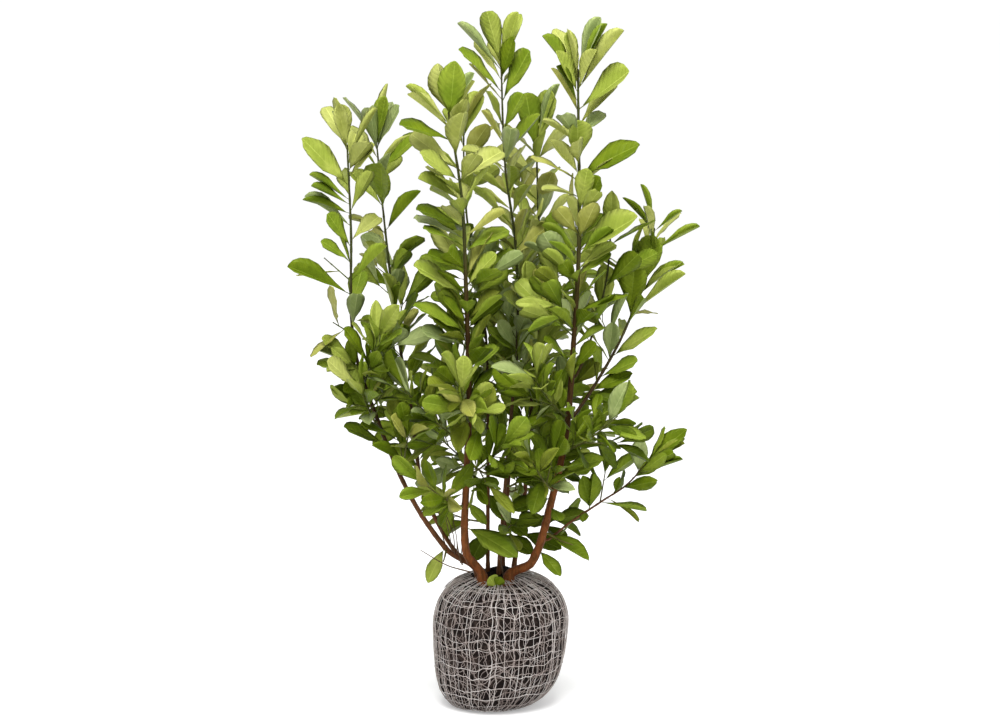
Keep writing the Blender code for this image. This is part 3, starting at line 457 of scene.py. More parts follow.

# Single leaves that show by themselves, by the limb that they grow from: the height there, the tip,
# the shape and tint, and the width as a share of the usual. Where one has the pale bluish tint, its sheen
# is painted
# Single leaves with the darkest tint are mostly painted shade
SINGLE_LEAVES = {
    "front_stem": (
        (0.42, (0.04, -0.115, 0.37), "drooping", "grown", 1.1),
        (0.48, (-0.03, -0.105, 0.435), "drooping", "grown", 1.0),
        (0.46, (-0.195, -0.115, 0.505), "folded", "fresh", 0.8),
        (0.5, (-0.17, -0.115, 0.455), "arched", "grown", 0.8),
        (0.83, (-0.17, -0.2, 0.87), "flat", "cool", 0.8),
        (0.86, (-0.18, -0.22, 0.93), "arched", "grown", 0.9),
        (0.94, (-0.18, -0.21, 1.015), "arched", "fresh", 1.0),
        (1.0, (-0.155, -0.22, 1.035), "flat", "deep", 0.9),
        (1.09, (-0.175, -0.23, 1.135), "arched", "dark", 1.0),
        (1.15, (-0.175, -0.23, 1.195), "folded", "fresh", 1.0),
        (1.19, (-0.17, -0.25, 1.25), "flat", "fresh", 1.1),
        (1.275, (-0.21, -0.24, 1.315), "arched", "deep", 1.0),
        (1.31, (-0.2, -0.24, 1.39), "folded", "fresh", 0.4),
        (1.32, (-0.095, -0.22, 1.445), "cupped", "grown", 1.1),
        (1.33, (-0.055, -0.2, 1.42), "folded", "cool", 0.5),
    ),
    "front_right_stem": (
        (0.365, (0.135, -0.1, 0.32), "drooping", "deep", 1.0),
        (0.405, (0.2, -0.085, 0.35), "arched_folded", "deep", 0.8),
        (0.44, (0.045, -0.12, 0.45), "arched", "deep", 1.0),
        (0.465, (0.135, -0.115, 0.44), "flat", "grown", 1.2),
        (0.485, (0.025, -0.13, 0.47), "arched", "dark", 1.1),
        (0.54, (0.225, -0.13, 0.585), "arched", "grown", 1.0),
        (0.74, (0.17, -0.18, 0.82), "cupped", "olive", 1.0),
        (0.765, (0.13, -0.18, 0.825), "flat", "grown", 1.0),
        (0.77, (0.205, -0.15, 0.84), "arched", "deep", 1.0),
        (0.79, (0.1, -0.17, 0.85), "arched", "deep", 1.1),
        (1.04, (0.3, -0.19, 1.11), "cupped", "fresh", 1.25),
        (1.1, (0.215, -0.19, 1.2), "flat", "deep", 1.0),
        (1.12, (0.185, -0.2, 1.215), "arched", "fresh", 0.9),
        (1.2, (0.295, -0.19, 1.275), "arched", "deep", 1.0),
        (1.23, (0.165, -0.205, 1.32), "folded", "fresh", 1.25),
        (1.29, (0.225, -0.12, 1.34), "flat", "cool", 1.1),
        (1.345, (0.28, -0.2, 1.42), "cupped", "fresh", 1.25),
        (1.36, (0.12, -0.19, 1.435), "folded", "dark", 0.7),
        (1.38, (0.115, -0.2, 1.465), "cupped", "fresh", 1.0),
        (1.39, (0.265, -0.2, 1.51), "folded", "young", 0.5),
        (1.405, (0.09, -0.18, 1.5), "folded", "grown", 0.7),
        (1.41, (0.23, -0.19, 1.525), "folded", "grown", 0.35),
        (1.415, (0.145, -0.18, 1.51), "flat", "fresh", 0.65),
        (1.42, (0.215, -0.18, 1.54), "folded", "cool", 0.6),
    ),
    "centre_stem": (
        (0.39, (0.075, -0.03, 0.355), "arched", "dark", 1.0),
        (0.43, (0.06, -0.05, 0.4), "arched", "deep", 1.0),
        (1.3, (0.045, -0.05, 1.385), "arched", "grown", 1.0),
        (1.37, (0.065, -0.04, 1.48), "flat", "grown", 1.15),
        (1.39, (-0.085, -0.05, 1.485), "arched", "grown", 0.8),
        (1.42, (0.03, -0.04, 1.51), "flat", "deep", 1.0),
        (1.44, (-0.095, -0.03, 1.54), "folded", "cool", 0.35),
        (1.45, (0.04, -0.03, 1.565), "folded", "fresh", 0.6),
    ),
    "left_outer_stem": (
        (0.365, (-0.165, -0.06, 0.295), "drooping", "fresh", 0.9),
        (0.595, (-0.345, -0.07, 0.65), "arched", "grown", 0.9),
        (0.705, (-0.375, -0.08, 0.73), "flat", "deep", 1.0),
        (0.74, (-0.36, -0.09, 0.76), "flat", "deep", 1.0),
        (0.77, (-0.405, -0.08, 0.79), "arched", "grown", 0.9),
        (0.78, (-0.415, -0.08, 0.82), "folded", "cool", 0.7),
        (0.79, (-0.395, -0.09, 0.845), "flat", "fresh", 0.8),
        (0.94, (-0.465, -0.09, 1.01), "arched_folded", "deep", 0.7),
        (1.01, (-0.385, -0.1, 1.065), "drooping", "grown", 0.8),
        (1.045, (-0.38, -0.09, 1.12), "flat", "grown", 1.0),
        (1.12, (-0.435, -0.09, 1.15), "folded", "deep", 0.5),
        (1.14, (-0.415, -0.1, 1.18), "folded", "grown", 0.6),
        (1.15, (-0.42, -0.09, 1.205), "folded", "grown", 0.5),
        (1.18, (-0.435, -0.09, 1.285), "flat", "fresh", 0.9),
        (1.2, (-0.275, -0.1, 1.27), "flat", "young", 1.1),
        (1.26, (-0.355, -0.1, 1.36), "cupped", "young", 0.9),
        (1.27, (-0.37, -0.08, 1.345), "folded", "cool", 0.25),
    ),
    "left_inner_stem": (
        (0.37, (-0.125, -0.01, 0.465), "flat", "grown", 0.8),
        (0.86, (-0.185, 0.03, 0.935), "flat", "dark", 1.0),
        (0.88, (-0.265, 0.0, 0.985), "folded", "fresh", 0.8),
        (0.89, (-0.225, 0.0, 0.96), "folded", "grown", 0.5),
        (0.99, (-0.19, 0.05, 1.05), "folded", "dark", 0.7),
        (1.08, (-0.18, 0.06, 1.17), "folded", "deep", 0.7),
        (1.13, (-0.265, 0.02, 1.235), "cupped", "grown", 1.3),
        (1.215, (-0.19, 0.07, 1.295), "flat", "grown", 1.1),
        (1.27, (-0.23, 0.08, 1.365), "flat", "cool", 0.75),
        (1.275, (-0.26, 0.07, 1.385), "folded", "grown", 0.7),
    ),
    "back_right_stem": (
        (0.385, (0.14, 0.01, 0.36), "arched", "dark", 1.0),
        (0.4, (0.125, 0.02, 0.42), "flat", "dark", 1.0),
        (1.26, (0.06, 0.21, 1.4), "flat", "grown", 0.9),
        (1.27, (0.12, 0.2, 1.405), "flat", "fresh", 0.9),
        (1.28, (0.14, 0.2, 1.42), "folded", "cool", 0.35),
    ),
    "back_left_stem": (
        (0.39, (-0.065, 0.005, 0.335), "drooping", "dark", 1.3),
        (0.475, (0.02, 0.005, 0.425), "arched", "dark", 1.0),
    ),
    "right_upper_branch": (
        (0.7, (0.305, -0.08, 0.725), "flat", "deep", 1.2),
        (0.72, (0.25, -0.09, 0.71), "arched", "dark", 1.2),
        (0.725, (0.295, -0.075, 0.765), "flat", "deep", 1.1),
        (0.74, (0.225, -0.1, 0.79), "cupped", "olive", 1.0),
        (0.755, (0.305, -0.09, 0.795), "flat", "grown", 1.15),
        (0.765, (0.205, -0.09, 0.83), "flat", "grown", 1.0),
        (0.79, (0.25, -0.08, 0.88), "folded", "cool", 0.9),
        (0.8, (0.35, -0.07, 0.865), "flat", "fresh", 0.9),
        (0.885, (0.3, -0.05, 1.01), "flat", "deep", 1.1),
        (0.9, (0.415, -0.04, 0.985), "folded", "fresh", 0.45),
        (0.94, (0.405, -0.03, 1.015), "arched_folded", "fresh", 0.6),
        (0.95, (0.345, -0.03, 1.07), "flat", "grown", 1.1),
        (1.035, (0.45, 0.0, 1.09), "folded", "grown", 0.25),
        (1.08, (0.275, 0.0, 1.155), "folded", "deep", 0.3),
        (1.08, (0.41, 0.0, 1.125), "folded", "grown", 0.35),
        (1.085, (0.315, 0.0, 1.185), "folded", "grown", 0.35),
    ),
    "right_inner_branch": (
        (1.07, (0.245, -0.12, 1.17), "flat", "fresh", 0.8),
    ),
    "right_low_branch": (
        (0.43, (0.14, 0.02, 0.385), "flat", "dark", 1.0),
        (0.45, (0.185, -0.085, 0.435), "arched", "deep", 1.0),
        (0.455, (0.185, -0.07, 0.535), "flat", "deep", 1.1),
        (0.48, (0.32, -0.03, 0.43), "drooping_folded", "olive", 0.3),
        (0.49, (0.27, -0.05, 0.53), "folded", "deep", 0.9),
        (0.505, (0.355, -0.05, 0.52), "folded", "grown", 0.6),
        (0.53, (0.41, -0.06, 0.57), "folded", "deep", 0.25),
        (0.535, (0.315, -0.06, 0.62), "flat", "cool", 1.0),
        (0.55, (0.415, -0.05, 0.605), "folded", "olive", 0.5),
        (0.555, (0.415, -0.05, 0.64), "arched", "deep", 0.8),
    ),
}
SINGLE_LEAF_TOP = (0.0, -0.65, 0.76)

# Sky that the photo shows between the limbs, as seen on the plane y = 0: x, z and radius. A leaf is
# left out if one of these shares of its length lies there. Only 22 of the 48 places were read one by one:
# the other 26 came from comparing the photo with a render, rounded to 5 mm
SEEN_AT = (0.45, 0.75, 1.0)
SKY_GAPS = (
    (-0.44, 1.08, 0.035), (-0.44, 0.9, 0.045), (-0.415, 0.69, 0.035), (-0.38, 0.68, 0.02),
    (-0.29, 0.51, 0.05), (-0.235, 0.435, 0.035), (-0.245, 0.5, 0.02), (-0.165, 0.26, 0.02),
    (-0.41, 1.325, 0.03), (-0.385, 1.3, 0.025), (-0.41, 1.015, 0.02), (-0.37, 0.995, 0.02),
    (-0.17, 1.43, 0.025), (-0.295, 0.945, 0.025), (-0.3, 0.91, 0.02), (-0.24, 1.125, 0.02),
    (-0.22, 1.19, 0.02), (-0.205, 1.095, 0.025), (-0.175, 1.05, 0.02), (-0.2, 0.97, 0.02),
    (-0.085, 0.97, 0.02), (-0.035, 1.125, 0.02), (0.065, 1.52, 0.025), (0.085, 1.42, 0.035),
    (0.06, 1.4, 0.02), (0.09, 1.455, 0.02), (0.125, 1.15, 0.015), (0.245, 1.305, 0.02),
    (0.23, 1.28, 0.02), (0.21, 1.245, 0.015), (0.27, 1.2, 0.035), (0.295, 1.17, 0.02),
    (0.27, 1.135, 0.015), (0.305, 1.155, 0.015), (0.315, 1.24, 0.04), (0.385, 1.15, 0.025),
    (0.4, 1.085, 0.015), (0.36, 0.825, 0.03), (0.345, 0.68, 0.03), (0.295, 0.665, 0.02),
    (0.27, 0.565, 0.015), (0.4, 0.49, 0.045), (0.23, 0.35, 0.03), (0.115, 0.29, 0.02),
    (-0.095, 0.325, 0.02), (-0.155, 0.34, 0.015), (0.23, 1.185, 0.015), (0.25, 1.185, 0.02),
)

# Dry twigs and fibres near the soil: knots and foot and tip radii
DRY_TWIGS = (
    (((0.009, -0.030, 0.284), (0.004, -0.031, 0.325), (-0.007, -0.030, 0.356)), (0.0016, 0.0010)),
    (((-0.070, -0.050, 0.314), (-0.120, -0.056, 0.330), (-0.178, -0.058, 0.364)), (0.0018, 0.0009)),
    (((-0.108, -0.022, 0.346), (-0.113, -0.024, 0.385), (-0.122, -0.020, 0.428)), (0.0015, 0.0008)),
    (((-0.098, -0.020, 0.338), (-0.098, -0.018, 0.380), (-0.106, -0.016, 0.424)), (0.0013, 0.0008)),
    (((-0.090, -0.020, 0.330), (-0.086, -0.016, 0.375), (-0.089, -0.014, 0.412)), (0.0013, 0.0007)),
    (((-0.103, -0.024, 0.342), (-0.106, -0.028, 0.395), (-0.128, -0.030, 0.455)), (0.0017, 0.0008)),
    (((-0.120, -0.022, 0.358), (-0.132, -0.028, 0.400), (-0.142, -0.030, 0.470)), (0.0016, 0.0008)),
    (((-0.086, -0.022, 0.326), (-0.093, -0.028, 0.350), (-0.100, -0.030, 0.400)), (0.0018, 0.0008)),
)

# The sprout on the soil: where it stands, and the tips, widths and tints of its two small leaves
SPROUT_ROOT = (-0.009, -0.066, 0.280)
SPROUT_LEAVES = (((-0.024, -0.080, 0.308), 2.1, "fresh"), ((0.002, -0.077, 0.307), 1.8, "deep"))
SPROUT_TOP = (0.1, -0.9, 0.4)

# Studio: the floor's size, white and painted glow, the share of the glow at the plant and the distances
# between which it rises to the whole, the light from all round and the white that the camera sees, the
# area lights as name, place, size and power, the point that they face, and the camera. The glow is
# painted light that only the camera sees: the floor shines though it is no lamp
FLOOR_SIZE = 60
FLOOR_WHITE = 0.85
FLOOR_GLOW = 0.52
GLOW_NEAR = 0.62
GLOW_REACH = (0.22, 0.42)
SKY_LIGHT = 0.72
SKY_SEEN = 1.02
LIGHTS = (("key", (-0.1, -2.7, 4.2), 2.2, 220), ("fill", (2.8, -2.4, 1.6), 2.5, 15))
LIT_POINT = (0, 0, 0.8)
CAMERA_PLACE = (0, -4.5, 1.15)
CAMERA_PITCH = 4.63
CAMERA_LENS = 71.86
CAMERA_SENSOR = 36


# Working by hand in Blender


def deselect_all():
    if bpy.context.object and bpy.context.object.mode != "OBJECT":
        bpy.ops.object.mode_set(mode="OBJECT")
    bpy.ops.object.select_all(action="DESELECT")


def select_only(obj):
    deselect_all()
    obj.select_set(True)
    bpy.context.view_layer.objects.active = obj


def named(name):
    """The object that an operator has just made, with its name."""
    obj = bpy.context.object
    obj.name = name
    obj.data.name = name
    return obj


def pick(obj, test):
    """In edit mode, selects the points for which test is true of their place."""
    bm = bmesh.from_edit_mesh(obj.data)
    for vert in bm.verts:
        vert.select_set(False)
    bm.select_flush(False)
    for vert in bm.verts:
        if test(vert.co):
            vert.select_set(True)
    bm.select_flush(True)
    bmesh.update_edit_mesh(obj.data)


def pick_at(obj, x, reach=ROW_REACH):
    pick(obj, lambda co: abs(co.x - x) < reach)


def apply_modifier(obj, kind, **settings):
    select_only(obj)
    modifier = obj.modifiers.new(kind.lower(), kind)
    for key, value in settings.items():
        setattr(modifier, key, value)
    bpy.ops.object.modifier_apply(modifier=modifier.name)


def relief(obj, size, depth):
    """Raises and sinks the surface by a cloudy pattern of that size."""
    texture = bpy.data.textures.new("relief", "CLOUDS")
    texture.noise_scale = size
    texture.noise_depth = 2
    apply_modifier(obj, "DISPLACE", texture=texture, strength=depth, mid_level=0.5,
                   texture_coords="LOCAL")


def new_curve(name):
    """A curve without lines, which are to have their own thickness."""
    deselect_all()
    bpy.ops.curve.primitive_nurbs_path_add()
    obj = named(name)
    obj.data.splines.clear()
    obj.data.use_fill_caps = True
    return obj


def add_line(curve, places, radii, closed=False):
    line = curve.splines.new("POLY")
    line.points.add(len(places) - 1)
    line.use_cyclic_u = closed
    for point, place, radius in zip(line.points, places, radii):
        point.co = (*place, 1)
        point.radius = radius
    return line


# Surface and routes of the solids


def share_between(value, low, high):
    """How far the value is from low to high, held at 0 and 1."""
    return min(1, max(0, (value - low) / (high - low)))


def on_ball(direction, proud):
    """The point of the ball's lumpy, squared surface in that direction, pushed out by proud."""
    x, y, z = direction
    height = BALL_RISE if z > 0 else BALL_DROP
    power = BALL_SQUARENESS
    size = (math.hypot(x, y) / BALL_RADIUS) ** power + (abs(z) / height) ** power
    bearing = math.atan2(y, x)
    waves = (lump * math.sin(count * bearing + start + turn * z) for count, start, turn, lump in BALL_WAVES)
    point = Vector(direction) * (1 + sum(waves) * (1 - z * z)) / size ** (1 / power)
    point += Vector(direction) * proud
    point.z += BALL_MIDDLE + BALL_LEAN * point.x * (1 - abs(z))
    return point


def smooth_route(knots, step=STEP):
    """Points about step apart on one smooth curve through the knots. A route from the soil starts
    straight up."""
    knots = [Vector(k) for k in knots]
    slopes = []
    for i in range(len(knots)):
        before, after = knots[max(i - 1, 0)], knots[min(i + 1, len(knots) - 1)]
        slopes.append((after - before).normalized())
    if math.isclose(knots[0].z, SOIL_TOP, abs_tol=WELD):
        slopes[0] = Vector((0, 0, 1))
    route = [knots[0]]
    for i in range(len(knots) - 1):
        a, b = knots[i], knots[i + 1]
        reach = (b - a).length / 3
        count = max(2, round((b - a).length / step))
        route += interpolate_bezier(a, a + slopes[i] * reach, b - slopes[i + 1] * reach, b, count + 1)[1:]
    return route


def lengths_along(route):
    total = [0.0]
    for a, b in zip(route, route[1:]):
        total.append(total[-1] + (b - a).length)
    return total


def at_length(route, s):
    """The point and direction at distance s along the route, the direction turning smoothly."""
    total = lengths_along(route)
    s = min(max(s, 0.0), total[-1])
    i = next((k for k in range(len(total) - 1) if s <= total[k + 1]), len(total) - 2)
    share = (s - total[i]) / (total[i + 1] - total[i])
    here = (route[i + 1] - route[i]).normalized()
    before = (route[i] - route[i - 1]).normalized() if i > 0 else here
    after = (route[i + 2] - route[i + 1]).normalized() if i + 2 < len(route) else here
    start, end = (before + here).normalized(), (after + here).normalized()
    return route[i].lerp(route[i + 1], share), start.lerp(end, share).normalized()


def length_at_height(route, height):
    total = lengths_along(route)
    for i in range(len(route) - 1):
        if route[i].z <= height <= route[i + 1].z:
            share = (height - route[i].z) / (route[i + 1].z - route[i].z)
            return total[i] + share * (total[i + 1] - total[i])
    return total[-1]


def stretch(route, start, end):
    """The part of the route between two lengths, with ends that are square to it and fewer points."""
    total = lengths_along(route)
    inner = [p for p, s in zip(route, total) if start + 2 * SQUARE_END < s < end - 2 * SQUARE_END]
    first, ahead = at_length(route, start)
    last, onward = at_length(route, end)
    return [first, first + ahead * SQUARE_END, *inner[::SHOOT_EVERY], last - onward * SQUARE_END, last]


def taper(radii, length, start=0.0):
    """Radius as a function of the length from start along a limb, with a flare at a thick foot."""
    def radius_at(s):
        share = share_between(start + s, 0, length)
        flare = FLARE * max(0, 1 - (start + s) / FLARE_HEIGHT) if radii[0] > FLARED_FROM else 0
        return (radii[0] + (radii[1] - radii[0]) * share ** TAPER_POWER) * (1 + flare)
    return radius_at


def rod(name, route, radius_at, sides):
    """A tapered rod with closed ends along the route. radius_at takes a length along it."""
    section = new_curve("section")
    angles = [2 * math.pi * k / sides for k in range(sides)]
    add_line(section.data, [(math.cos(angle), math.sin(angle), 0) for angle in angles], [1] * sides, True)
    guide = new_curve(name)
    add_line(guide.data, route, [radius_at(s) for s in lengths_along(route)])
    guide.data.bevel_mode = "OBJECT"
    guide.data.bevel_object = section
    bpy.ops.object.convert(target="MESH")
    bpy.data.objects.remove(section)
    bpy.ops.object.mode_set(mode="EDIT")
    bpy.ops.mesh.select_all(action="SELECT")
    bpy.ops.mesh.remove_doubles(threshold=WELD)
    bpy.ops.mesh.normals_make_consistent(inside=False)
    bpy.ops.object.mode_set(mode="OBJECT")
    return guide


# The solids' leaf and twig as plain points and faces, which growth is tested with


def solid_leaf(kind):
    drop = TIP_DROPS[kind]
    half, tip = LEAF_WIDTH / 2, TIP_WIDTH / 2
    middle, end = -drop * WIDEST_AT ** 2, -drop
    points = [Vector(p) for p in ((0, 0, 0), (WIDEST_AT, half, middle), (WIDEST_AT, -half, middle),
                                  (WIDEST_AT, 0, middle - LEAF_THICKNESS), (1, tip, end), (1, -tip, end))]
    faces = ((0, 2, 1), (0, 3, 2), (0, 1, 3), (1, 2, 5), (1, 5, 4), (2, 3, 5), (3, 4, 5), (1, 4, 3))
    return points, faces


def solid_twig():
    far = TWIG_RADII[1] / TWIG_RADII[0]
    points, corners = [], (90, 210, 330)
    for x, radius in ((0, 1), (1, far)):
        for corner in corners:
            angle = math.radians(corner + 180)
            points.append(Vector((x, radius * math.cos(angle), radius * math.sin(angle))))
    faces = ((0, 2, 1), (3, 4, 5), (0, 1, 4, 3), (1, 2, 5, 4), (2, 0, 3, 5))
    return points, faces


# Growth


def frame_along(origin, along, top):
    """A matrix with +X along the given direction and +Z as near to top as it can be."""
    x = along.normalized()
    y = top.cross(x).normalized()
    matrix = Matrix((x, y, x.cross(y))).transposed().to_4x4()
    matrix.translation = origin
    return matrix


def tree_of(points, faces, matrix):
    moved = [matrix @ point for point in points]
    return moved, BVHTree.FromPolygons(moved, faces)


def tree_of_mesh(mesh):
    return tree_of([v.co for v in mesh.vertices], [p.vertices[:] for p in mesh.polygons], Matrix())


def corners_of(points):
    return [min(axis) for axis in zip(*points)], [max(axis) for axis in zip(*points)]


def low_size(height):
    """The size of a leaf at that height, as a share: less near the ground."""
    return LOW_SIZE + (1 - LOW_SIZE) * share_between(height, *LOW_HEIGHTS)


def outline_at(height, number):
    """The outline of a leaf at that height. The leaves' numbers deal the outlines out evenly."""
    below, above = OVAL_SHARES
    ovals = below + (above - below) * share_between(height, *OVAL_HEIGHTS)
    return "oval" if number * OVAL_DEAL % 1 < ovals else "spoon"


def in_sky(matrix):
    """Whether a leaf there shows where the photo has sky."""
    eye = Vector(CAMERA_PLACE)
    for share in SEEN_AT:
        point = matrix @ Vector((share, 0, 0))
        seen = eye.lerp(point, -eye.y / (point.y - eye.y))
        if any(math.hypot(seen.x - x, seen.z - z) < radius for x, z, radius in SKY_GAPS):
            return True
    return False


class Grown:
    """What stands already, so that nothing new is grown through it."""

    def __init__(self):
        self.items = []

    def add(self, points, tree, owner):
        self.items.append((*corners_of(points), tree, owner))

    def touches(self, points, whole, past_root, mass, carriers):
        low, high = corners_of(points)
        for other_low, other_high, other, owner in self.items:
            if owner in carriers or any(low[k] > other_high[k] or high[k] < other_low[k] for k in range(3)):
                continue
            if past_root.overlap(other) or (owner[0] != mass and whole.overlap(other)):
                return True
        return False


class Mass:
    """A shoot with its twigs and leaves, grown in its own space round the shoot's line."""

    def __init__(self, name, route, radius_at, habit, plant):
        self.name = name
        self.route = route
        self.length = lengths_along(route)[-1]
        self.radius_at = radius_at
        self.habit = HABITS[habit]
        self.kind = habit
        self.plant = plant
        self.chance = random.Random(f"{SEED} {name}")
        self.looks = random.Random(f"{SEED} {name} looks")
        self.leaves = []
        self.twigs = []
        self.count = 0
        self.size = 1.0
        self.test = TEST_SCALE
        self.turn = self.chance.uniform(0, 360)
        self.stem_owner = (name, "shoot")
        shoot = rod(name, route, radius_at, SHOOT_SIDES)
        plant["grown"].add(*tree_of_mesh(shoot.data), self.stem_owner)
        bpy.data.objects.remove(shoot)

    def in_space(self, points):
        for point in points:
            low = point.z < SOIL_TOP + SOIL_ROOM
            on_soil = low and math.hypot(point.x, point.y) < BALL_RADIUS + SOIL_ROOM
            if on_soil or min((point - p).length for p in self.route) > SPACE_RADIUS:
                return False
        return True

    def place(self, solid, matrix, root_share, carriers):
        """Finds room for a copy of the solid there, and gives back who owns it, or None."""
        points, whole = tree_of(*solid, matrix)
        length, width, height = self.test
        enlarged = Matrix.Diagonal((length - root_share, width, height, 1))
        enlarged.translation.x = root_share
        test_points, past_root = tree_of(*solid, matrix @ enlarged)
        touches = self.plant["grown"].touches
        if not self.in_space(points) or touches(points + test_points, whole, past_root, self.name, carriers):
            return None
        owner = (self.name, self.count)
        self.count += 1
        self.plant["grown"].add(points, whole, owner)
        return owner

    def outward(self, along, turn):
        return Matrix.Rotation(math.radians(turn), 3, along) @ along.orthogonal().normalized()

    def leaf(self, point, along, splay, carriers, radius, young=0.0):
        kind = self.chance.choice(LEAF_KINDS)
        length = LEAF_LENGTH * self.habit["size"] * self.size * self.chance.uniform(*SIZE_SPREAD)
        roll = math.radians(self.chance.uniform(-LEAF_ROLL, LEAF_ROLL))
        splay = math.radians(splay + self.chance.uniform(-ANGLE_SPREAD, ANGLE_SPREAD))
        self.turn += TURN
        for attempt in range(TRIES):
            swing = (attempt + 1) // 2 * SWING * (-1) ** attempt
            outward = self.outward(along, self.turn + swing)
            ahead = along * math.cos(splay) + outward * math.sin(splay)
            top = (along * math.sin(splay) - outward * math.cos(splay)).lerp(Vector((0, 0, 1)), SKY_PULL)
            top = Matrix.Rotation(roll, 3, ahead) @ top
            matrix = frame_along(point - ahead * radius * ROOT_DEPTH, ahead, top) @ Matrix.Scale(length, 4)
            if self.place(self.plant["leaves"][kind], matrix, LEAF_ROOT_SHARE, carriers):
                form = self.looks.choice(SHAPES_OF_KIND[kind])
                turns = [math.radians(self.looks.uniform(-turn, turn)) for turn in LOOK_TURNS]
                width = self.looks.uniform(*LOOK_WIDTHS) * NARROW.get(self.name, 1)
                size = low_size(point.z)
                sizes = Matrix.Diagonal((size, size * width, size, 1))
                turned = matrix @ Euler(turns).to_matrix().to_4x4() @ sizes
                outline = outline_at(point.z, len(self.leaves))
                self.leaves.append(((form, outline), turned, young))
                return

    def leaves_along(self, start, end, spacing):
        s = start
        while s < end:
            point, along = at_length(self.route, s)
            splay = LOW_SPLAY + (CLUSTER_SPLAY - LOW_SPLAY) * s / self.length
            self.leaf(point, along, splay, (self.stem_owner,), self.radius_at(s))
            s += spacing * self.chance.uniform(*SPACING_SPREAD)

    def tip_cluster(self, count):
        for k in range(count):
            s = self.length - (count - 1 - k) * CLUSTER_SPACING - TIP_MARGIN
            point, along = at_length(self.route, s)
            splay = CLUSTER_SPLAY + (TOP_SPLAY - CLUSTER_SPLAY) * k / (count - 1)
            self.leaf(point, along, splay, (self.stem_owner,), self.radius_at(s), 1.0)

    def twigs_along(self, start, end, twig_length, spacing, radii):
        s = start
        while s < end:
            point, along = at_length(self.route, s)
            rise = math.radians(TWIG_RISE + self.chance.uniform(-ANGLE_SPREAD, ANGLE_SPREAD))
            length = twig_length * self.chance.uniform(*SPACING_SPREAD)
            for _ in range(TRIES):
                self.turn += TURN
                ahead = along * math.cos(rise) + self.outward(along, self.turn) * math.sin(rise)
                foot = point - ahead * self.radius_at(s) * ROOT_DEPTH
                scale = Matrix.Diagonal((length, radii[0], radii[0], 1))
                matrix = frame_along(foot, ahead, along) @ scale
                owner = self.place(self.plant["twig"], matrix, TWIG_ROOT_SHARE, (self.stem_owner,))
                if owner:
                    first = len(self.leaves)
                    self.leaves_on_twig(foot, ahead, length, owner, radii)
                    if not all(in_sky(leaf) for _, leaf, _ in self.leaves[first:]):
                        self.twigs.append(matrix)
                    break
            s += spacing * self.chance.uniform(*SPACING_SPREAD)

    def leaves_on_twig(self, foot, ahead, length, owner, radii):
        for k, share in enumerate(TWIG_LEAVES_AT):
            splay = TWIG_SPLAY + (TOP_SPLAY - TWIG_SPLAY) * k / (len(TWIG_LEAVES_AT) - 1)
            radius = radii[0] * (1 - share) + radii[1] * share
            young = share * YOUNG_ON_TWIG
            self.leaf(foot + ahead * length * share, ahead, splay, (self.stem_owner, owner), radius, young)

    def grow(self):
        """The growth that the solids have."""
        if self.habit["no_twigs"]:
            foot, tip = self.habit["no_twigs"]
            self.twigs_along(foot, self.length - tip, TWIG_LENGTH, TWIG_SPACING, TWIG_RADII)
        self.tip_cluster(self.habit["cluster"])
        foot, tip = self.habit["no_leaves"]
        self.leaves_along(foot, self.length - tip, self.habit["spacing"])

    def grow_finer(self):
        """Finer twigs and further leaves in the room that is left, but not on an open leader."""
        if self.kind in OPEN_KINDS or self.name in OPEN_MASSES:
            return
        closeness, self.size = FINE_SHARES[self.kind]
        self.test = FINE_TEST
        if self.habit["no_twigs"]:
            foot, tip = FINE_TWIG_ENDS
            radii = [radius * FINE_TWIG_THICKNESS for radius in TWIG_RADII]
            self.twigs_along(foot, self.length - tip, FINE_TWIG_LENGTH, FINE_TWIG_SPACING, radii)
        foot, tip = self.habit["no_leaves"]
        end = self.length * OPEN_TOP if self.kind == "top" else self.length - tip * FINE_BARE
        self.leaves_along(foot * FINE_BARE, end, self.habit["spacing"] * closeness)


def seated(route, radius_at, tree):
    """How far a side route moves until its foot is JOINT_GAP clear of its carrier."""
    ahead = (route[1] - route[0]).normalized()
    side = ahead.orthogonal().normalized()
    heights = []
    for ring in range(SEAT_RINGS):
        for ray in range(SEAT_RAYS):
            turn = Matrix.Rotation(2 * math.pi * ray / SEAT_RAYS, 3, ahead)
            point = route[0] + turn @ side * radius_at(0) * ring / (SEAT_RINGS - 1)
            hit = tree.ray_cast(point + ahead * SEAT_REACH, -ahead)[0]
            if hit:
                heights.append((hit - route[0]).dot(ahead))
    return ahead * (max(heights) + JOINT_GAP)


def stem_limb(name, spec, plant):
    route = smooth_route(spec["knots"])
    radius_at = taper(spec["radii"], lengths_along(route)[-1])
    points, tree = tree_of_mesh(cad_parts[name].data)
    plant["grown"].add(points, tree, (name, "limb"))
    plant["limbs"][name] = (route, radius_at, length_at_height(route, spec["bare"]), tree)
    plant["bark"][name] = (smooth_route(spec["knots"], BARK_STEP), radius_at)


def crown_masses(name, spec, plant):
    route, _, bare, _ = plant["limbs"][name]
    length = lengths_along(route)[-1]
    middle = length_at_height(route, spec["middle"])
    label = name.removesuffix("_stem")
    masses = []
    for habit, start, end in (("middle", bare, middle), ("top", middle, length)):
        line = stretch(route, start + JOINT_GAP, end)
        radius_at = taper(spec["radii"], length, start + JOINT_GAP)
        masses.append(Mass(f"{label}_{habit}_leaves", line, radius_at, habit, plant))
    return masses


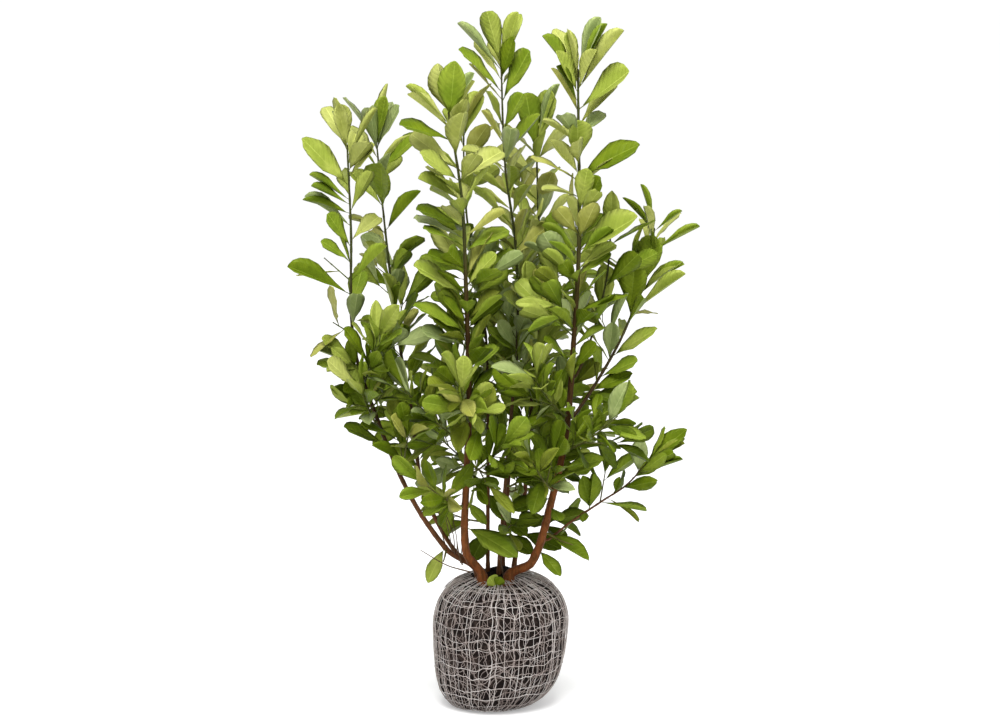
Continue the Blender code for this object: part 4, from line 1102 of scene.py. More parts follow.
def branch(name, spec, plant):
    stem_route, _, _, tree = plant["limbs"][spec["stem"]]
    start, along = at_length(stem_route, length_at_height(stem_route, spec["height"]))
    outward = (Vector(spec["knots"][0]) - start).normalized()
    outward = (outward - along * outward.dot(along) * BRANCH_SQUARE).normalized()
    foot = [start + outward * STRAIGHT_FOOT, start + outward * 2 * STRAIGHT_FOOT]
    route = smooth_route([*foot, *spec["knots"]])
    length = lengths_along(route)[-1]
    radius_at = taper(spec["radii"], length)
    shift = seated(route, radius_at, tree)
    route = [p + shift for p in route]
    plant["grown"].add(*tree_of_mesh(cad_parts[name].data), (name, "limb"))
    fine = [p + shift for p in smooth_route([*foot, *spec["knots"]], BARK_STEP)]
    plant["bark"][name] = (fine, radius_at)
    first = spec["bare"] + JOINT_GAP
    line = stretch(route, first, length)
    mass_name = name.removesuffix("_branch") + "_leaves"
    return Mass(mass_name, line, taper(spec["radii"], length, first), "branch", plant)


def side_mass(name, spec, plant):
    stem, height, bearing, rise, length = spec
    stem_route, stem_radius_at, _, tree = plant["limbs"][stem]
    foot_at = length_at_height(stem_route, height)
    point, along = at_length(stem_route, foot_at)
    outward = Vector((math.cos(math.radians(bearing)), math.sin(math.radians(bearing)), 0))
    outward = (outward - along * outward.dot(along)).normalized()
    lift = math.radians(rise)
    ahead = (outward * math.cos(lift) + Vector((0, 0, 1)) * math.sin(lift)).normalized()
    start = point + outward * stem_radius_at(foot_at)
    turned = start + outward * STRAIGHT_FOOT
    tip = turned + ahead * length + Vector((0, 0, SIDE_LIFT * length))
    knots = [start, turned, turned + ahead * length * SIDE_BEND, tip]
    route = smooth_route(knots)
    radius_at = taper(SIDE_RADII, lengths_along(route)[-1])
    line = [*route[:2], *route[2:-1:SHOOT_EVERY], route[-1]]
    shift = seated(line, radius_at, tree)
    plant["shoots"][stem].append(([p + shift for p in smooth_route(knots, BARK_STEP)], radius_at))
    habit = "foot" if name.endswith("foot") else "side"
    return Mass(name + "_leaves", [p + shift for p in line], radius_at, habit, plant)


def grow_plant():
    plant = {
        "grown": Grown(),
        "limbs": {},
        "bark": {},
        "shoots": {name: [] for name in STEMS},
        "leaves": {kind: solid_leaf(kind) for kind in TIP_DROPS},
        "twig": solid_twig(),
    }
    for name in ("root_ball", "net"):
        plant["grown"].add(*tree_of_mesh(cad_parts[name].data), (name, "ball"))
    for name, spec in STEMS.items():
        stem_limb(name, spec, plant)
    groups = {name: crown_masses(name, spec, plant) for name, spec in STEMS.items()}
    groups["right_branches"] = [branch(name, spec, plant) for name, spec in BRANCHES.items()]
    for name, spec in SIDE_SHOOTS.items():
        groups[spec[0]].append(side_mass(name, spec, plant))
    masses = [*(m for name in STEMS for m in groups[name][:2]), *groups["right_branches"],
              *(m for name in STEMS for m in groups[name][2:])]
    for mass in masses:
        mass.grow()
    for mass in masses:
        mass.grow_finer()
    return plant, groups


# Finishes


def shade(colour, factor=1, lift=0):
    """The colour, darker or paler."""
    return (*[min(1, part * factor + lift) for part in colour], 1)


class Wiring:
    """A node tree that is wired by socket names."""

    def __init__(self, tree):
        self.tree = tree

    def add(self, kind, inputs, **settings):
        node = self.tree.nodes.new(kind if kind.startswith("Node") else "ShaderNode" + kind)
        for key, value in settings.items():
            setattr(node, key, value)
        for key, value in inputs.items():
            self.set(node, key, value)
        return node

    def set(self, node, key, value):
        if isinstance(value, bpy.types.NodeSocket):
            self.tree.links.new(value, node.inputs[key])
        else:
            node.inputs[key].default_value = value

    def maths(self, operation, a, b=0.0):
        return self.add("Math", {0: a, 1: b}, operation=operation).outputs[0]

    def blend(self, factor, a, b):
        """The colour between a and b."""
        return self.add("Mix", {0: factor, 6: a, 7: b}, data_type="RGBA").outputs[2]

    def spread(self, value, low, high, to_low=0.0, to_high=1.0):
        """The value mapped from one range to another, smoothly and held at its ends."""
        inputs = {"Value": value, "From Min": low, "From Max": high, "To Min": to_low, "To Max": to_high}
        return self.add("MapRange", inputs, interpolation_type="SMOOTHSTEP").outputs["Result"]


def new_group(name, inputs, outputs):
    """A node group that takes a vector and numbers and puts out numbers."""
    tree = bpy.data.node_groups.new(name, "ShaderNodeTree")
    tree.interface.new_socket("Vector", in_out="INPUT", socket_type="NodeSocketVector")
    for label, value in inputs.items():
        socket = tree.interface.new_socket(label, in_out="INPUT", socket_type="NodeSocketFloat")
        socket.default_value = value
    for label in outputs:
        tree.interface.new_socket(label, in_out="OUTPUT", socket_type="NodeSocketFloat")
    wiring = Wiring(tree)
    return tree, wiring, wiring.add("NodeGroupInput", {}).outputs, wiring.add("NodeGroupOutput", {})


def patches_group():
    """Soft patches: 0 to 1 with a given size and edge."""
    tree, wiring, given, out = new_group("patches", {"Scale": 10.0, "Low": 0.4, "High": 0.6}, ["Mask"])
    clouds = wiring.add("TexNoise", {"Vector": given["Vector"], "Scale": given["Scale"], "Detail": 3.0})
    wiring.set(out, "Mask", wiring.spread(clouds.outputs["Fac"], given["Low"], given["High"]))
    return tree


def veins_group():
    """A leaf's rib, margin and side veins, from its own map. The veins leave the rib and lean to the
    tip."""
    tree, wiring, given, out = new_group("veins", {"Count": 10.0}, ["Lines", "Relief", "Rib", "Margin"])
    parts = wiring.add("SeparateXYZ", {0: given["Vector"]})
    across = wiring.maths("ABSOLUTE", wiring.maths("SUBTRACT", parts.outputs["Y"], 0.5))
    lean = wiring.maths("MULTIPLY", wiring.maths("POWER", across, 1.4), 0.55)
    along = wiring.maths("MULTIPLY", wiring.maths("SUBTRACT", parts.outputs["X"], lean), given["Count"])
    away = wiring.maths("ABSOLUTE", wiring.maths("SUBTRACT", wiring.maths("FRACT", along), 0.5))
    wiring.set(out, "Lines", wiring.spread(away, 0.10, 0.0))
    wiring.set(out, "Relief", wiring.spread(away, 0.0, 0.35))
    wiring.set(out, "Rib", wiring.spread(across, 0.026, 0.008))
    wiring.set(out, "Margin", wiring.spread(across, 0.30, 0.50))
    return tree


def crumbs_group():
    """Crumbs of soil or the grain of string: cells and clouds together as one height."""
    tree, wiring, given, out = new_group("crumbs", {"Scale": 100.0}, ["Height"])
    cells = wiring.add("TexVoronoi", {"Vector": given["Vector"], "Scale": given["Scale"]})
    clouds = wiring.add("TexNoise", {"Vector": given["Vector"], "Scale": given["Scale"], "Detail": 4.0})
    wiring.set(out, "Height", wiring.maths("SUBTRACT", clouds.outputs["Fac"], cells.outputs["Distance"]))
    return tree


class Finish:
    """A new material that is built up from a base colour."""

    def __init__(self, name, groups, base, roughness):
        self.material = bpy.data.materials.new(name)
        self.material.use_nodes = True
        self.groups = groups
        self.tone = shade(base)
        self.wiring = Wiring(self.material.node_tree)
        self.shader = self.material.node_tree.nodes["Principled BSDF"]
        self.shader.inputs["Roughness"].default_value = roughness
        self.coordinates = self.wiring.add("TexCoord", {})
        self.place = self.coordinates.outputs["Object"]

    def group(self, label, **inputs):
        node = self.wiring.add("Group", {}, node_tree=self.groups[label])
        for key, value in inputs.items():
            self.wiring.set(node, key, value)
        return node.outputs

    def stretched(self, z):
        return self.wiring.add("Mapping", {"Vector": self.place, "Scale": (1, 1, z)}).outputs[0]

    def patches(self, look, vector=None, fine=1.0):
        """A mask of soft patches: their scale, and where their edge begins and ends."""
        scale, low, high = look
        return self.group("patches", Vector=vector or self.place, Scale=scale * fine, Low=low,
                          High=high)["Mask"]

    def toward(self, colour, mask, share=None):
        """Tints all so far toward the colour where the mask is 1, or only a share of the way."""
        factor = mask if share is None else self.wiring.maths("MULTIPLY", mask, share)
        self.tone = self.wiring.blend(factor, self.tone, colour)

    def bump(self, height, strength, distance):
        bump = self.wiring.add("Bump", {"Height": height, "Strength": strength, "Distance": distance})
        self.wiring.set(self.shader, "Normal", bump.outputs["Normal"])

    def grain(self, scale, strength, distance):
        self.bump(self.group("crumbs", Vector=self.place, Scale=scale)["Height"], strength, distance)

    def gloss(self, level, tint=(1, 1, 1, 1)):
        self.shader.inputs["Specular IOR Level"].default_value = level
        self.shader.inputs["Specular Tint"].default_value = tint

    def made(self):
        self.wiring.set(self.shader, "Base Color", self.tone)
        return self.material


def leaf_finish(name, groups, dark, light, roughness, gloss):
    """Leathery leaf: patches between two greens, a paler margin and rib, and side veins with a slight
    pillow between them."""
    finish = Finish(name, groups, dark, roughness)
    veins = finish.group("veins", Vector=finish.coordinates.outputs["UV"])
    mottle = finish.patches(LEAF_MOTTLE)
    paler, deeper = shade(light, factor=1.35, lift=0.02), shade(dark, factor=0.66)
    finish.toward(shade(light), finish.patches(BROAD_PATCHES))
    finish.toward(deeper, mottle, share=0.30)
    finish.toward(paler, veins["Margin"], share=0.30)
    finish.toward(deeper, veins["Lines"], share=0.26)
    finish.toward(paler, veins["Rib"], share=0.75)
    varied = finish.wiring.spread(mottle, 0.0, 1.0, roughness - 0.06, roughness + 0.08)
    finish.wiring.set(finish.shader, "Roughness", varied)
    finish.bump(veins["Relief"], strength=0.30, distance=0.0012)
    finish.gloss(gloss, GLOSS_TINT)
    return finish.made()


def rib_finish(name, groups, dark, light):
    finish = Finish(name, groups, dark, roughness=0.5)
    mask = finish.patches(RIB_PATCHES)
    finish.toward(shade(light), mask)
    finish.bump(mask, strength=0.2, distance=0.0004)
    return finish.made()


def bark_finish(name, groups, red, brown, green, heights, fine):
    """Smooth bark: reddish at the foot, darker above, green at the tips, with dark streaks, and with
    paler blotches and pores on its lower part."""
    finish = Finish(name, groups, red, roughness=0.45)
    wiring = finish.wiring
    height = wiring.add("SeparateXYZ", {0: finish.place}).outputs["Z"]
    low, middle, high, top = heights
    above = wiring.spread(height, low, middle)
    below = wiring.maths("SUBTRACT", 1.0, above)
    finish.toward(shade(brown), above)
    finish.toward(shade(green), wiring.spread(height, high, top))
    streaks = finish.patches(BARK_STREAKS, finish.stretched(z=0.12), fine)
    blotches = finish.patches(BARK_BLOTCHES, fine=fine)
    finish.toward(shade(brown, factor=0.4), streaks, share=0.50)
    pale = wiring.maths("MULTIPLY", blotches, 0.30)
    finish.toward(shade(red, factor=1.4, lift=0.01), pale, share=below)
    cells = wiring.add("TexVoronoi", {"Vector": finish.stretched(z=2.2), "Scale": PORE_SCALE * fine})
    pores = wiring.spread(cells.outputs["Distance"], 0.22, 0.12)
    finish.toward(shade(PORE_COLOUR), wiring.maths("MULTIPLY", pores, 0.35), share=below)
    relief_height = wiring.maths("ADD", streaks, wiring.maths("MULTIPLY", pores, 0.8))
    finish.bump(relief_height, strength=0.5, distance=0.0008)
    finish.gloss(0.16, GLOSS_TINT)
    return finish.made()


def soil_finish(name, groups, dark, light):
    """Moist dark soil with paler dry crumbs."""
    finish = Finish(name, groups, dark, roughness=0.95)
    finish.toward(shade(light), finish.patches(DRY_PATCHES), share=0.6)
    finish.toward(shade(dark, factor=0.35), finish.patches(SOIL_SPECKS), share=0.6)
    finish.grain(scale=130.0, strength=0.9, distance=0.004)
    finish.gloss(0.15)
    return finish.made()


def string_finish(name, groups, pale, stained):
    """Pale twisted string, stained by soil in places."""
    finish = Finish(name, groups, pale, roughness=0.85)
    finish.toward(shade(stained), finish.patches(STRING_STAINS), share=0.75)
    finish.toward(shade(stained, factor=0.55), finish.patches(STRING_SPECKS), share=0.35)
    finish.grain(scale=700.0, strength=0.6, distance=0.0008)
    return finish.made()


def all_finishes():
    groups = {"patches": patches_group(), "veins": veins_group(), "crumbs": crumbs_group()}
    made = [leaf_finish(tint + "_leaf", groups, *look) for tint, look in LEAF_COLOURS.items()]
    made += [leaf_finish(age + "_underside", groups, *look) for age, look in UNDER_COLOURS.items()]
    made += [bark_finish(name, groups, *look) for name, look in BARK_COLOURS.items()]
    made += [string_finish(name, groups, *look) for name, look in STRING_COLOURS.items()]
    made += [rib_finish("leaf_rib", groups, *RIB_COLOURS), soil_finish("moist_soil", groups, *SOIL_COLOURS)]
    return {finish.name: finish for finish in made}


# Leaf and twig shapes, of unit length along +X

Shape = namedtuple("Shape", "points loops totals numbers places crease")


def cone_along(name, sides, radii, length):
    """A cone or rod from the origin along +X, in edit mode."""
    deselect_all()
    bpy.ops.mesh.primitive_cone_add(vertices=sides, radius1=radii[0], radius2=radii[1], depth=length,
                                    location=(length / 2, 0, 0), rotation=(0, math.pi / 2, 0))
    obj = named(name)
    bpy.ops.object.transform_apply(location=True, rotation=True, scale=True)
    bpy.ops.object.mode_set(mode="EDIT")
    return obj


def cut_across(places):
    """In edit mode, cuts through the whole shape at each x."""
    for x in places:
        bpy.ops.mesh.select_all(action="SELECT")
        bpy.ops.mesh.bisect(plane_co=(x, 0, 0), plane_no=(1, 0, 0))


def leaf_shape(name, row_widths, fold, cup, drop, twist, wave):
    """A blade drawn row by row from a flat grid, given an underside, and a rib along its middle."""
    deselect_all()
    last = len(ROWS) - 1
    bpy.ops.mesh.primitive_grid_add(x_subdivisions=last, y_subdivisions=BLADE_COLUMNS, size=1)
    leaf = named("leaf_" + name)
    bpy.ops.object.mode_set(mode="EDIT")
    for row in range(last, -1, -1):
        x, half = ROWS[row], row_widths[row] * BLADE_WIDTH / 2
        start, parked = row / last - 0.5, PARKED + row
        pick_at(leaf, start)
        bpy.ops.transform.resize(value=(1, 2 * half, 1), center_override=(start, 0, 0))
        bpy.ops.transform.translate(value=(parked - start, 0, 0))
        ripple = wave * math.sin(row * RIPPLE_TURN)
        for share in (0.5, 1.0):
            lift = half * (fold * share + cup * share * share) + ripple * share
            pick(leaf, lambda co: (abs(co.x - parked) < ROW_REACH
                                   and abs(abs(co.y) - half * share) < half * COLUMN_REACH))
            bpy.ops.transform.translate(value=(0, 0, lift))
        pick_at(leaf, parked)
        bpy.ops.transform.rotate(value=math.radians(twist) * x, orient_axis="X",
                                 center_override=(parked, 0, 0))
        bpy.ops.transform.translate(value=(0, 0, -drop * x * x))
    for row, x in enumerate(ROWS):
        pick_at(leaf, PARKED + row)
        bpy.ops.transform.translate(value=(x - PARKED - row, 0, 0))
    underside(leaf)
    bpy.ops.object.mode_set(mode="OBJECT")
    rib_on(leaf, drop)
    return leaf


def underside(leaf):
    """Doubles the blade, turns the copy over and lowers all of it but its edge."""
    def spot(vert):
        return tuple(round(part, 5) for part in vert.co)

    rim = {spot(vert) for vert in bmesh.from_edit_mesh(leaf.data).verts if vert.is_boundary}
    bpy.ops.mesh.select_all(action="SELECT")
    bpy.ops.mesh.duplicate()
    bpy.ops.mesh.flip_normals()
    bm = bmesh.from_edit_mesh(leaf.data)
    for face in bm.faces:
        face.material_index = 1 if face.select else 0
    for vert in bm.verts:
        if vert.select and spot(vert) in rim:
            vert.select_set(False)
    bm.select_flush(False)
    bmesh.update_edit_mesh(leaf.data)
    bpy.ops.transform.translate(value=(0, 0, -BLADE_THICKNESS))
    bpy.ops.mesh.select_all(action="SELECT")
    bpy.ops.mesh.remove_doubles(threshold=BLADE_WELD)


def rib_on(leaf, drop):
    """Adds a tapered rib of three sides that runs from the stalk's foot to near the tip."""
    rib = cone_along("rib", 3, RIB_RADII, RIB_LENGTH)
    cut_across(RIB_BENDS)
    bm = bmesh.from_edit_mesh(rib.data)
    for vert in bm.verts:
        vert.co.z += -drop * vert.co.x ** 2 - BLADE_THICKNESS * RIB_SUNK
    for face in bm.faces:
        face.material_index = 2
    bmesh.update_edit_mesh(rib.data)
    bpy.ops.object.mode_set(mode="OBJECT")
    select_only(leaf)
    rib.select_set(True)
    bpy.ops.object.join()


def twig_shape():
    """A twig that swells at its foot and at two buds and ends in a bud."""
    twig = cone_along("twig_shape", TWIG_SIDES, radii=(1, 1), length=1)
    cut_across([x for x, _ in TWIG_STATIONS[1:-1]])
    for x, radius in TWIG_STATIONS:
        pick_at(twig, x, STATION_REACH)
        bpy.ops.transform.resize(value=(1, radius, radius), center_override=(x, 0, 0))
    bpy.ops.object.mode_set(mode="OBJECT")
    return twig


# Joined pieces


def taken(obj, creased=False):
    """Takes a drawn shape down into arrays: its points, faces, material numbers and map, and which
    points its sharp edges join, those of a leaf's middle and rim."""
    mesh = obj.data
    points = np.array([vert.co for vert in mesh.vertices], np.float64)
    loops = np.array([loop.vertex_index for loop in mesh.loops], np.int64)
    totals = np.array([face.loop_total for face in mesh.polygons], np.int64)
    numbers = np.array([face.material_index for face in mesh.polygons], np.int64)
    places = np.zeros((len(loops), 2))
    if mesh.uv_layers:
        mesh.uv_layers[0].data.foreach_get("uv", places.reshape(-1))
    crease = np.zeros(len(points), bool)
    if creased:
        number = np.repeat(numbers, totals)
        crease[np.intersect1d(loops[number == 0], loops[number == 1])] = True
        crease[np.abs(points[:, 1]) < BLADE_WELD] = True
    bpy.data.objects.remove(obj)
    return Shape(points, loops, totals, numbers, places, crease)


def joined(name, copies, finishes):
    """One mesh of many copies of shapes. Each copy is a shape, a matrix and the numbers of the
    finishes that its own materials become."""
    points, loops, numbers = [], [], []
    shift = 0
    for shape, matrix, wanted in copies:
        m = np.array(matrix)
        points.append(shape.points @ m[:3, :3].T + m[:3, 3])
        loops.append(shape.loops + shift)
        numbers.append(np.array(wanted)[shape.numbers])
        shift += len(shape.points)
    points, loops = np.concatenate(points), np.concatenate(loops)
    totals = np.concatenate([shape.totals for shape, _, _ in copies])
    places = np.concatenate([shape.places for shape, _, _ in copies])
    crease = np.concatenate([shape.crease for shape, _, _ in copies])
    mesh = bpy.data.meshes.new(name)
    mesh.vertices.add(len(points))
    mesh.vertices.foreach_set("co", points.reshape(-1).astype(np.float32))
    mesh.loops.add(len(loops))
    mesh.loops.foreach_set("vertex_index", loops.astype(np.int32))
    mesh.polygons.add(len(totals))
    mesh.polygons.foreach_set("loop_start", (np.cumsum(totals) - totals).astype(np.int32))
    mesh.polygons.foreach_set("material_index", np.concatenate(numbers).astype(np.int32))
    mesh.polygons.foreach_set("use_smooth", np.ones(len(totals), bool))
    mesh.uv_layers.new(name="blade").data.foreach_set("uv", places.reshape(-1).astype(np.float32))
    for finish in finishes:
        mesh.materials.append(finish)
    mesh.update(calc_edges=True)
    mesh.validate()
    ends = np.empty(len(mesh.edges) * 2, np.int32)
    mesh.edges.foreach_get("vertices", ends)
    sharp = crease[ends].reshape(-1, 2).all(axis=1)
    mesh.attributes.new("sharp_edge", "BOOLEAN", "EDGE").data.foreach_set("value", sharp)
    obj = bpy.data.objects.new(name, mesh)
    bpy.context.scene.collection.objects.link(obj)
    return obj


def leaf_tint(mass, matrix, young, spray_tint):
    """The tint of one leaf: near its spray's own, lighter at the shoot's tip and further up."""
    # Lower leaves take darker tints, partly as painted shade
    level = TINT_START + TINT_RISE * share_between(matrix.translation.z, *TINT_HEIGHTS)
    level += spray_tint + young * TINT_YOUNG
    level += mass.looks.uniform(-TINT_SPREAD, TINT_SPREAD)
    level = min(TOP_LEVEL, max(0, round(level)))
    if mass.looks.random() < ODD_SHARE:
        return mass.looks.choice(ODD_TINTS[level])
    return LEAF_TINTS[level]


def finish_numbers(tint):
    """Which of the foliage's finishes the upper side, the underside and the rib of a leaf have."""
    under = "young_underside" if tint in YOUNG_UNDER else "grown_underside"
    return [FOLIAGE_FINISHES.index(name) for name in (tint + "_leaf", under, "leaf_rib")]


def lone_leaf(shape, root, tip, top, width, tint):
    """A copy of a leaf shape from its root to its tip. Its upper side faces top."""
    ahead = Vector(tip) - root
    size = ahead.length
    matrix = frame_along(root, ahead, Vector(top)) @ Matrix.Diagonal((size, size * width, size, 1))
    return shape, matrix, finish_numbers(tint)


def single_leaves(plant, limb, shapes):
    """The single leaves of one limb."""
    route, radius_at = plant["bark"][limb]
    for number, (height, tip, form, tint, width) in enumerate(SINGLE_LEAVES.get(limb, ())):
        s = length_at_height(route, height)
        point, _ = at_length(route, s)
        root = point + (Vector(tip) - point).normalized() * radius_at(s) * ROOT_DEPTH
        yield lone_leaf(shapes[form, outline_at(height, number)], root, tip, SINGLE_LEAF_TOP, width, tint)


def sprout(shapes):
    """The seedling on the soil."""
    for tip, width, tint in SPROUT_LEAVES:
        yield lone_leaf(shapes["folded", "spoon"], Vector(SPROUT_ROOT), tip, SPROUT_TOP, width, tint)


def foliage(name, masses, shapes, finishes, lone_leaves):
    """The leaves of one stem's masses and its lone leaves, joined."""
    copies = [*lone_leaves]
    for mass in masses:
        spray_tint = mass.looks.uniform(-SPRAY_SPREAD, SPRAY_SPREAD)
        for shape, matrix, young in mass.leaves:
            if not in_sky(matrix):
                tint = leaf_tint(mass, matrix, young, spray_tint)
                copies.append((shapes[shape], matrix, finish_numbers(tint)))
    return joined(name, copies, [finishes[name] for name in FOLIAGE_FINISHES])


# Bark


def knobbly(radius_at, length, chance):
    """The radius with a swelling at each bud, closer together further up."""
    buds, s = [], chance.uniform(*FIRST_BUD)
    while s < length:
        buds.append((s, chance.uniform(*BUD_SIZES) * BUD_SWELL))
        share = s / length
        s += (BUD_SPACING[0] * (1 - share) + BUD_SPACING[1] * share) * chance.uniform(*BUD_SPREAD)

    def at(s):
        swell = sum(size * math.exp(-((s - place) / BUD_REACH) ** 2) for place, size in buds
                    if abs(s - place) < BUD_ENDS * BUD_REACH)
        return radius_at(s) * (1 + swell)
    return at


def bark_limb(name, route, radius_at, sides, finish, reliefs=(), sunk=SUNK):
    """A limb with buds, a rounded tip and bark relief, sunk a little into what carries it."""
    chance = random.Random(f"{SEED} {name} bark")
    ahead = (route[1] - route[0]).normalized()
    route = [route[0] - ahead * sunk, *route]
    length = lengths_along(route)[-1]
    route.append(route[-1] + (route[-1] - route[-2]).normalized() * PAST_TIP)
    bumpy = knobbly(lambda s: radius_at(s - sunk), length, chance)
    limb = rod(name, route, lambda s: bumpy(s) * (ROUNDED_TIP if s > length else 1), sides)
    for size, depth in reliefs:
        relief(limb, size, depth)
    select_only(limb)
    bpy.ops.object.shade_smooth_by_angle(angle=math.radians(BARK_CREASE))
    limb.data.materials.clear()
    limb.data.materials.append(finish)
    return limb


def twigs(label, masses, shoots, dry_twigs, twig, finishes):
    """One stem's side shoots, dry twigs and leafy twigs, joined."""
    rods = []
    for k, (route, radius_at) in enumerate(shoots):
        name = f"{label}_shoot_{k}"
        rods.append(bark_limb(name, route, radius_at, SHOOT_BARK_SIDES, finishes["shoot_bark"]))
    for k, (knots, radii) in enumerate(dry_twigs):
        route = smooth_route(knots, BARK_STEP)
        radius_at = taper(radii, lengths_along(route)[-1])
        rods.append(bark_limb(f"dry_twig_{k}", route, radius_at, DRY_TWIG_SIDES, finishes["dry_twig"],
                              sunk=SUNK_DRY_TWIG))
    copies = [(twig, matrix, [0]) for mass in masses for matrix in mass.twigs]
    leafy = joined(label + "_twigs", copies, [finishes["shoot_bark"]])
    select_only(leafy)
    for part in rods:
        part.select_set(True)
    if rods:
        bpy.ops.object.join()
    return named(label + "_twigs")


# Ball and net


def dipped(point):
    """The point lowered as the front of the mouth is, and lower down drawn in and slumped to the left."""
    low = share_between(-point.z, -DRAWN_FROM, 0)
    point.x *= 1 - DRAWN_IN * min(1, 2 * low)
    point.x -= SLUMP * low ** SLUMP_CURVE
    height = share_between(point.z, DIP_FROM, SOIL_TOP)
    forward = share_between(-point.y, -DIP_BACK, MOUTH_RADIUS)
    point.z -= RIM_DIP * height ** 2 * forward
    return point


def soil_height(x, y):
    """Height of the soil in the mouth, before the rim's dip."""
    height = SOIL_TOP - SOIL_SINK
    for (mid_x, mid_y), rise, reach in SOIL_SHAPES:
        height += rise * math.exp(-((x - mid_x) ** 2 + (y - mid_y) ** 2) / reach ** 2)
    return height


def soil_ball(finish):
    deselect_all()
    segments, rings = SOIL_STEPS
    bpy.ops.mesh.primitive_uv_sphere_add(segments=segments, ring_count=rings, radius=1)
    ball = named("soil_ball")
    for vert in ball.data.vertices:
        point = on_ball(vert.co.normalized(), -SOIL_UNDER_NET)
        if point.z > SOIL_TOP - SOIL_SINK:
            point.z = soil_height(point.x, point.y)
        point.z = max(point.z, SOIL_FLOOR)
        vert.co = dipped(point)
    for size, depth in SOIL_RELIEFS:
        relief(ball, size, depth)
    for vert in ball.data.vertices:
        vert.co.z = max(vert.co.z, 0)
    select_only(ball)
    bpy.ops.object.shade_smooth_by_angle(angle=math.radians(SOIL_CREASE))
    ball.data.materials.append(finish)
    return ball


def ball_point(bearing, latitude, proud):
    bearing, latitude = math.radians(bearing), math.radians(latitude)
    direction = (math.cos(bearing) * math.cos(latitude), math.sin(bearing) * math.cos(latitude),
                 math.sin(latitude))
    point = on_ball(direction, proud)
    point.z = max(point.z, proud)
    return dipped(point)


def upright_line(bearing, wander, low, high, shift):
    steps = round((high - low) / STRING_STEP)
    line = []
    for i in range(steps + 1):
        latitude = low + (high - low) * i / steps
        sway = sum(size * noise.noise(Vector((shift, latitude / scale, layer)))
                   for scale, layer, size in UPRIGHT_SWAYS)
        line.append((bearing + wander * sway, latitude))
    return line


def level_line(latitude, wander, shift):
    line = []
    for bearing in range(0, 360, STRING_STEP):
        angle = math.radians(bearing)
        around = Vector((math.cos(angle), math.sin(angle), 0))
        sway = sum(size * noise.noise(around * scale + Vector((0, 0, shift))) for scale, size in LEVEL_SWAYS)
        line.append((bearing, min(NET_HIGH, max(NET_LOW, latitude + wander * sway))))
    return line


def string_paths(chance):
    """Lines on the ball for the strings, each with its radius, the most that it stands proud, its
    finish and whether it closes on itself."""
    toward, rise = NET_HIGHER
    for kinds, low in ((UPRIGHTS, NET_LOW), ((GATHERS,), GATHERED_FROM)):
        for count, radius, proud, wander, high, finish in kinds:
            for k in range(count):
                bearing = (k + chance.uniform(-UPRIGHT_SHIFT, UPRIGHT_SHIFT)) * 360 / count
                end = high + rise * math.cos(math.radians(bearing - toward))
                if high < NET_HIGH:
                    end += chance.uniform(-END_SPREAD, END_SPREAD)
                line = upright_line(bearing, wander, low, end, chance.uniform(*SWAY_STARTS))
                yield line, radius, proud, finish, False
    for count, radius, proud, wander, finish in LEVELS:
        for k in range(count):
            share = (k + 0.5 + chance.uniform(-LEVEL_SHIFT, LEVEL_SHIFT)) / count
            latitude = NET_LOW + (NET_HIGH - NET_LOW) * share
            yield level_line(latitude, wander, chance.uniform(*SWAY_STARTS)), radius, proud, finish, True


def string_net(finishes):
    """The net, its finer strings dimmer."""
    net = new_curve("string_net")
    for name in STRING_COLOURS:
        net.data.materials.append(finishes[name])
    net.data.bevel_depth = 1
    net.data.bevel_resolution = 0
    chance = random.Random(f"{SEED} net")
    for line, radius, most_proud, finish, closed in string_paths(chance):
        radius *= chance.uniform(*STRING_SPREAD)
        proud = radius + chance.uniform(STRING_LEAST_PROUD, most_proud)
        places = [ball_point(bearing, latitude, proud) for bearing, latitude in line]
        string = add_line(net.data, places, [radius] * len(places), closed)
        string.material_index = list(STRING_COLOURS).index(finish)
    bpy.ops.object.convert(target="MESH")
    bpy.ops.object.shade_smooth()
    return net


# Floor, light and camera


def white_floor():
    """A white floor with a painted glow that only the camera sees, weaker near the plant, so that only
    a soft contact shadow darkens it.
    """
    deselect_all()
    bpy.ops.mesh.primitive_plane_add(size=FLOOR_SIZE)
    floor = named("floor")
    finish = Finish("pale_floor", {}, [FLOOR_WHITE] * 3, roughness=0.9)
    finish.gloss(0.0)
    # Painted glow, seen by the camera only: the floor shines white though it is no lamp, less near the plant
    # so that the shadow there shows
    away = finish.wiring.add("VectorMath", {0: finish.place}, operation="LENGTH").outputs["Value"]
    glow = finish.wiring.spread(away, *GLOW_REACH, FLOOR_GLOW * GLOW_NEAR, FLOOR_GLOW)
    finish.wiring.set(finish.shader, "Emission Strength", glow)
    seen = finish.wiring.add("LightPath", {}).outputs["Is Camera Ray"]
    finish.wiring.set(finish.shader, "Emission Color", seen)
    floor.data.materials.append(finish.made())


def white_sky():
    """Soft light from all round, before a background that the camera sees as white."""
    world = bpy.data.worlds.new("studio")
    bpy.context.scene.world = world
    world.use_nodes = True
    sky = Wiring(world.node_tree)
    lit = world.node_tree.nodes["Background"]
    sky.set(lit, "Color", (1, 1, 1, 1))
    sky.set(lit, "Strength", SKY_LIGHT)
    white = sky.add("Background", {"Color": (1, 1, 1, 1), "Strength": SKY_SEEN})
    seen = sky.add("LightPath", {}).outputs["Is Camera Ray"]
    mix = sky.add("MixShader", {0: seen, 1: lit.outputs[0], 2: white.outputs[0]})
    sky.set(world.node_tree.nodes["World Output"], "Surface", mix.outputs[0])


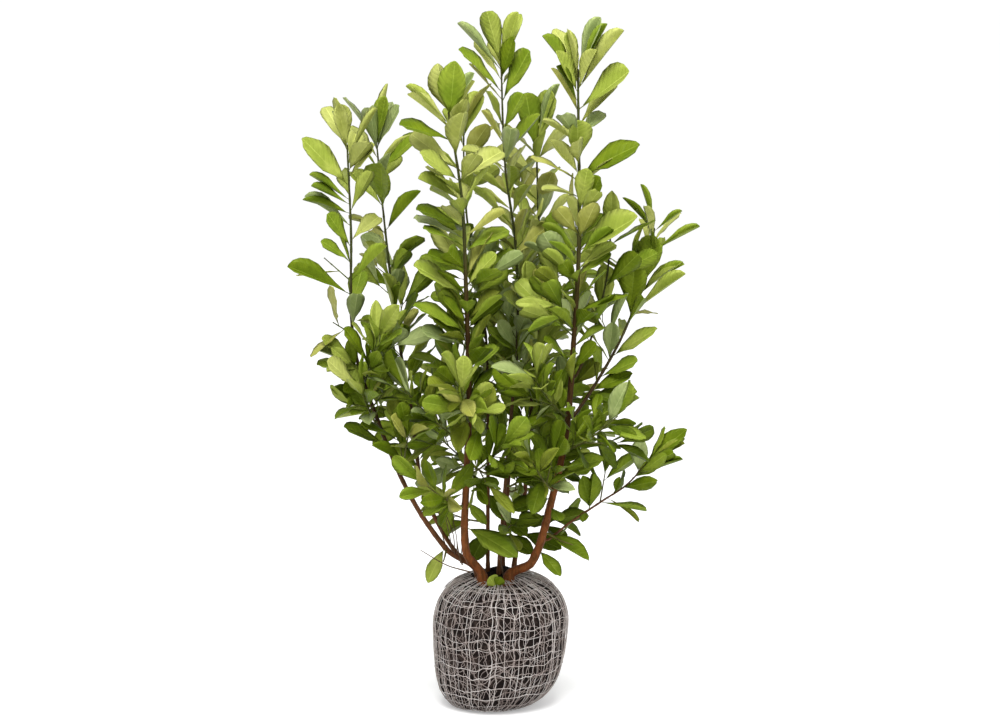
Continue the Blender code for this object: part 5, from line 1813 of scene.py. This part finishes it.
def lights_and_camera():
    for label, place, size, energy in LIGHTS:
        bpy.ops.object.light_add(type="AREA", location=place)
        light = named(label)
        light.data.size = size
        light.data.energy = energy
        light.rotation_euler = (Vector(LIT_POINT) - Vector(place)).to_track_quat("-Z", "Y").to_euler()
    bpy.ops.object.camera_add(location=CAMERA_PLACE, rotation=(math.radians(90 - CAMERA_PITCH), 0, 0))
    camera = named("camera")
    camera.data.lens = CAMERA_LENS
    camera.data.sensor_width = CAMERA_SENSOR
    bpy.context.scene.camera = camera
    bpy.context.scene.view_settings.view_transform = "Standard"


# Making the plant. A piece comes with a slot name and the nodes that it replaces: it is attached to
# the root body and those nodes are hidden


def bark_pieces(plant, finishes):
    for name, (route, radius_at) in plant["bark"].items():
        sunk = SUNK_IN_SOIL if name in STEMS else SUNK
        finish = finishes["stem_bark" if name in THICK_STEMS else "thin_stem_bark"]
        limb = bark_limb(name + "_bark", route, radius_at, BARK_SIDES, finish, BARK_RELIEFS, sunk)
        yield limb, "bark", [name]


def crown_pieces(plant, groups, finishes):
    shapes = {}
    for name, form in LEAF_SHAPES.items():
        for outline, row_widths in OUTLINES.items():
            leaf = leaf_shape(f"{name}_{outline}", row_widths, **form)
            shapes[name, outline] = taken(leaf, creased=True)
    twig = taken(twig_shape())
    for name, masses in groups.items():
        front = name == "front_stem"
        label = name.removesuffix("_stem")
        nodes = [mass.name for mass in masses]
        limbs = BRANCHES if name == "right_branches" else [name]
        lone_leaves = [leaf for limb in limbs for leaf in single_leaves(plant, limb, shapes)]
        lone_leaves += sprout(shapes) if front else []
        yield foliage(label + "_foliage", masses, shapes, finishes, lone_leaves), "leaf", nodes
        shoots = plant["shoots"].get(name, [])
        yield twigs(label, masses, shoots, DRY_TWIGS if front else [], twig, finishes), "bark", nodes


def main():
    finishes = all_finishes()
    plant, groups = grow_plant()
    pieces = [
        *bark_pieces(plant, finishes),
        *crown_pieces(plant, groups, finishes),
        (soil_ball(finishes["moist_soil"]), "soil", ["root_ball"]),
        (string_net(finishes), "net", ["net"]),
    ]
    for piece, slot, nodes in pieces:
        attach(piece, "root")
        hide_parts(*nodes)

    white_floor()
    white_sky()
    lights_and_camera()


main()
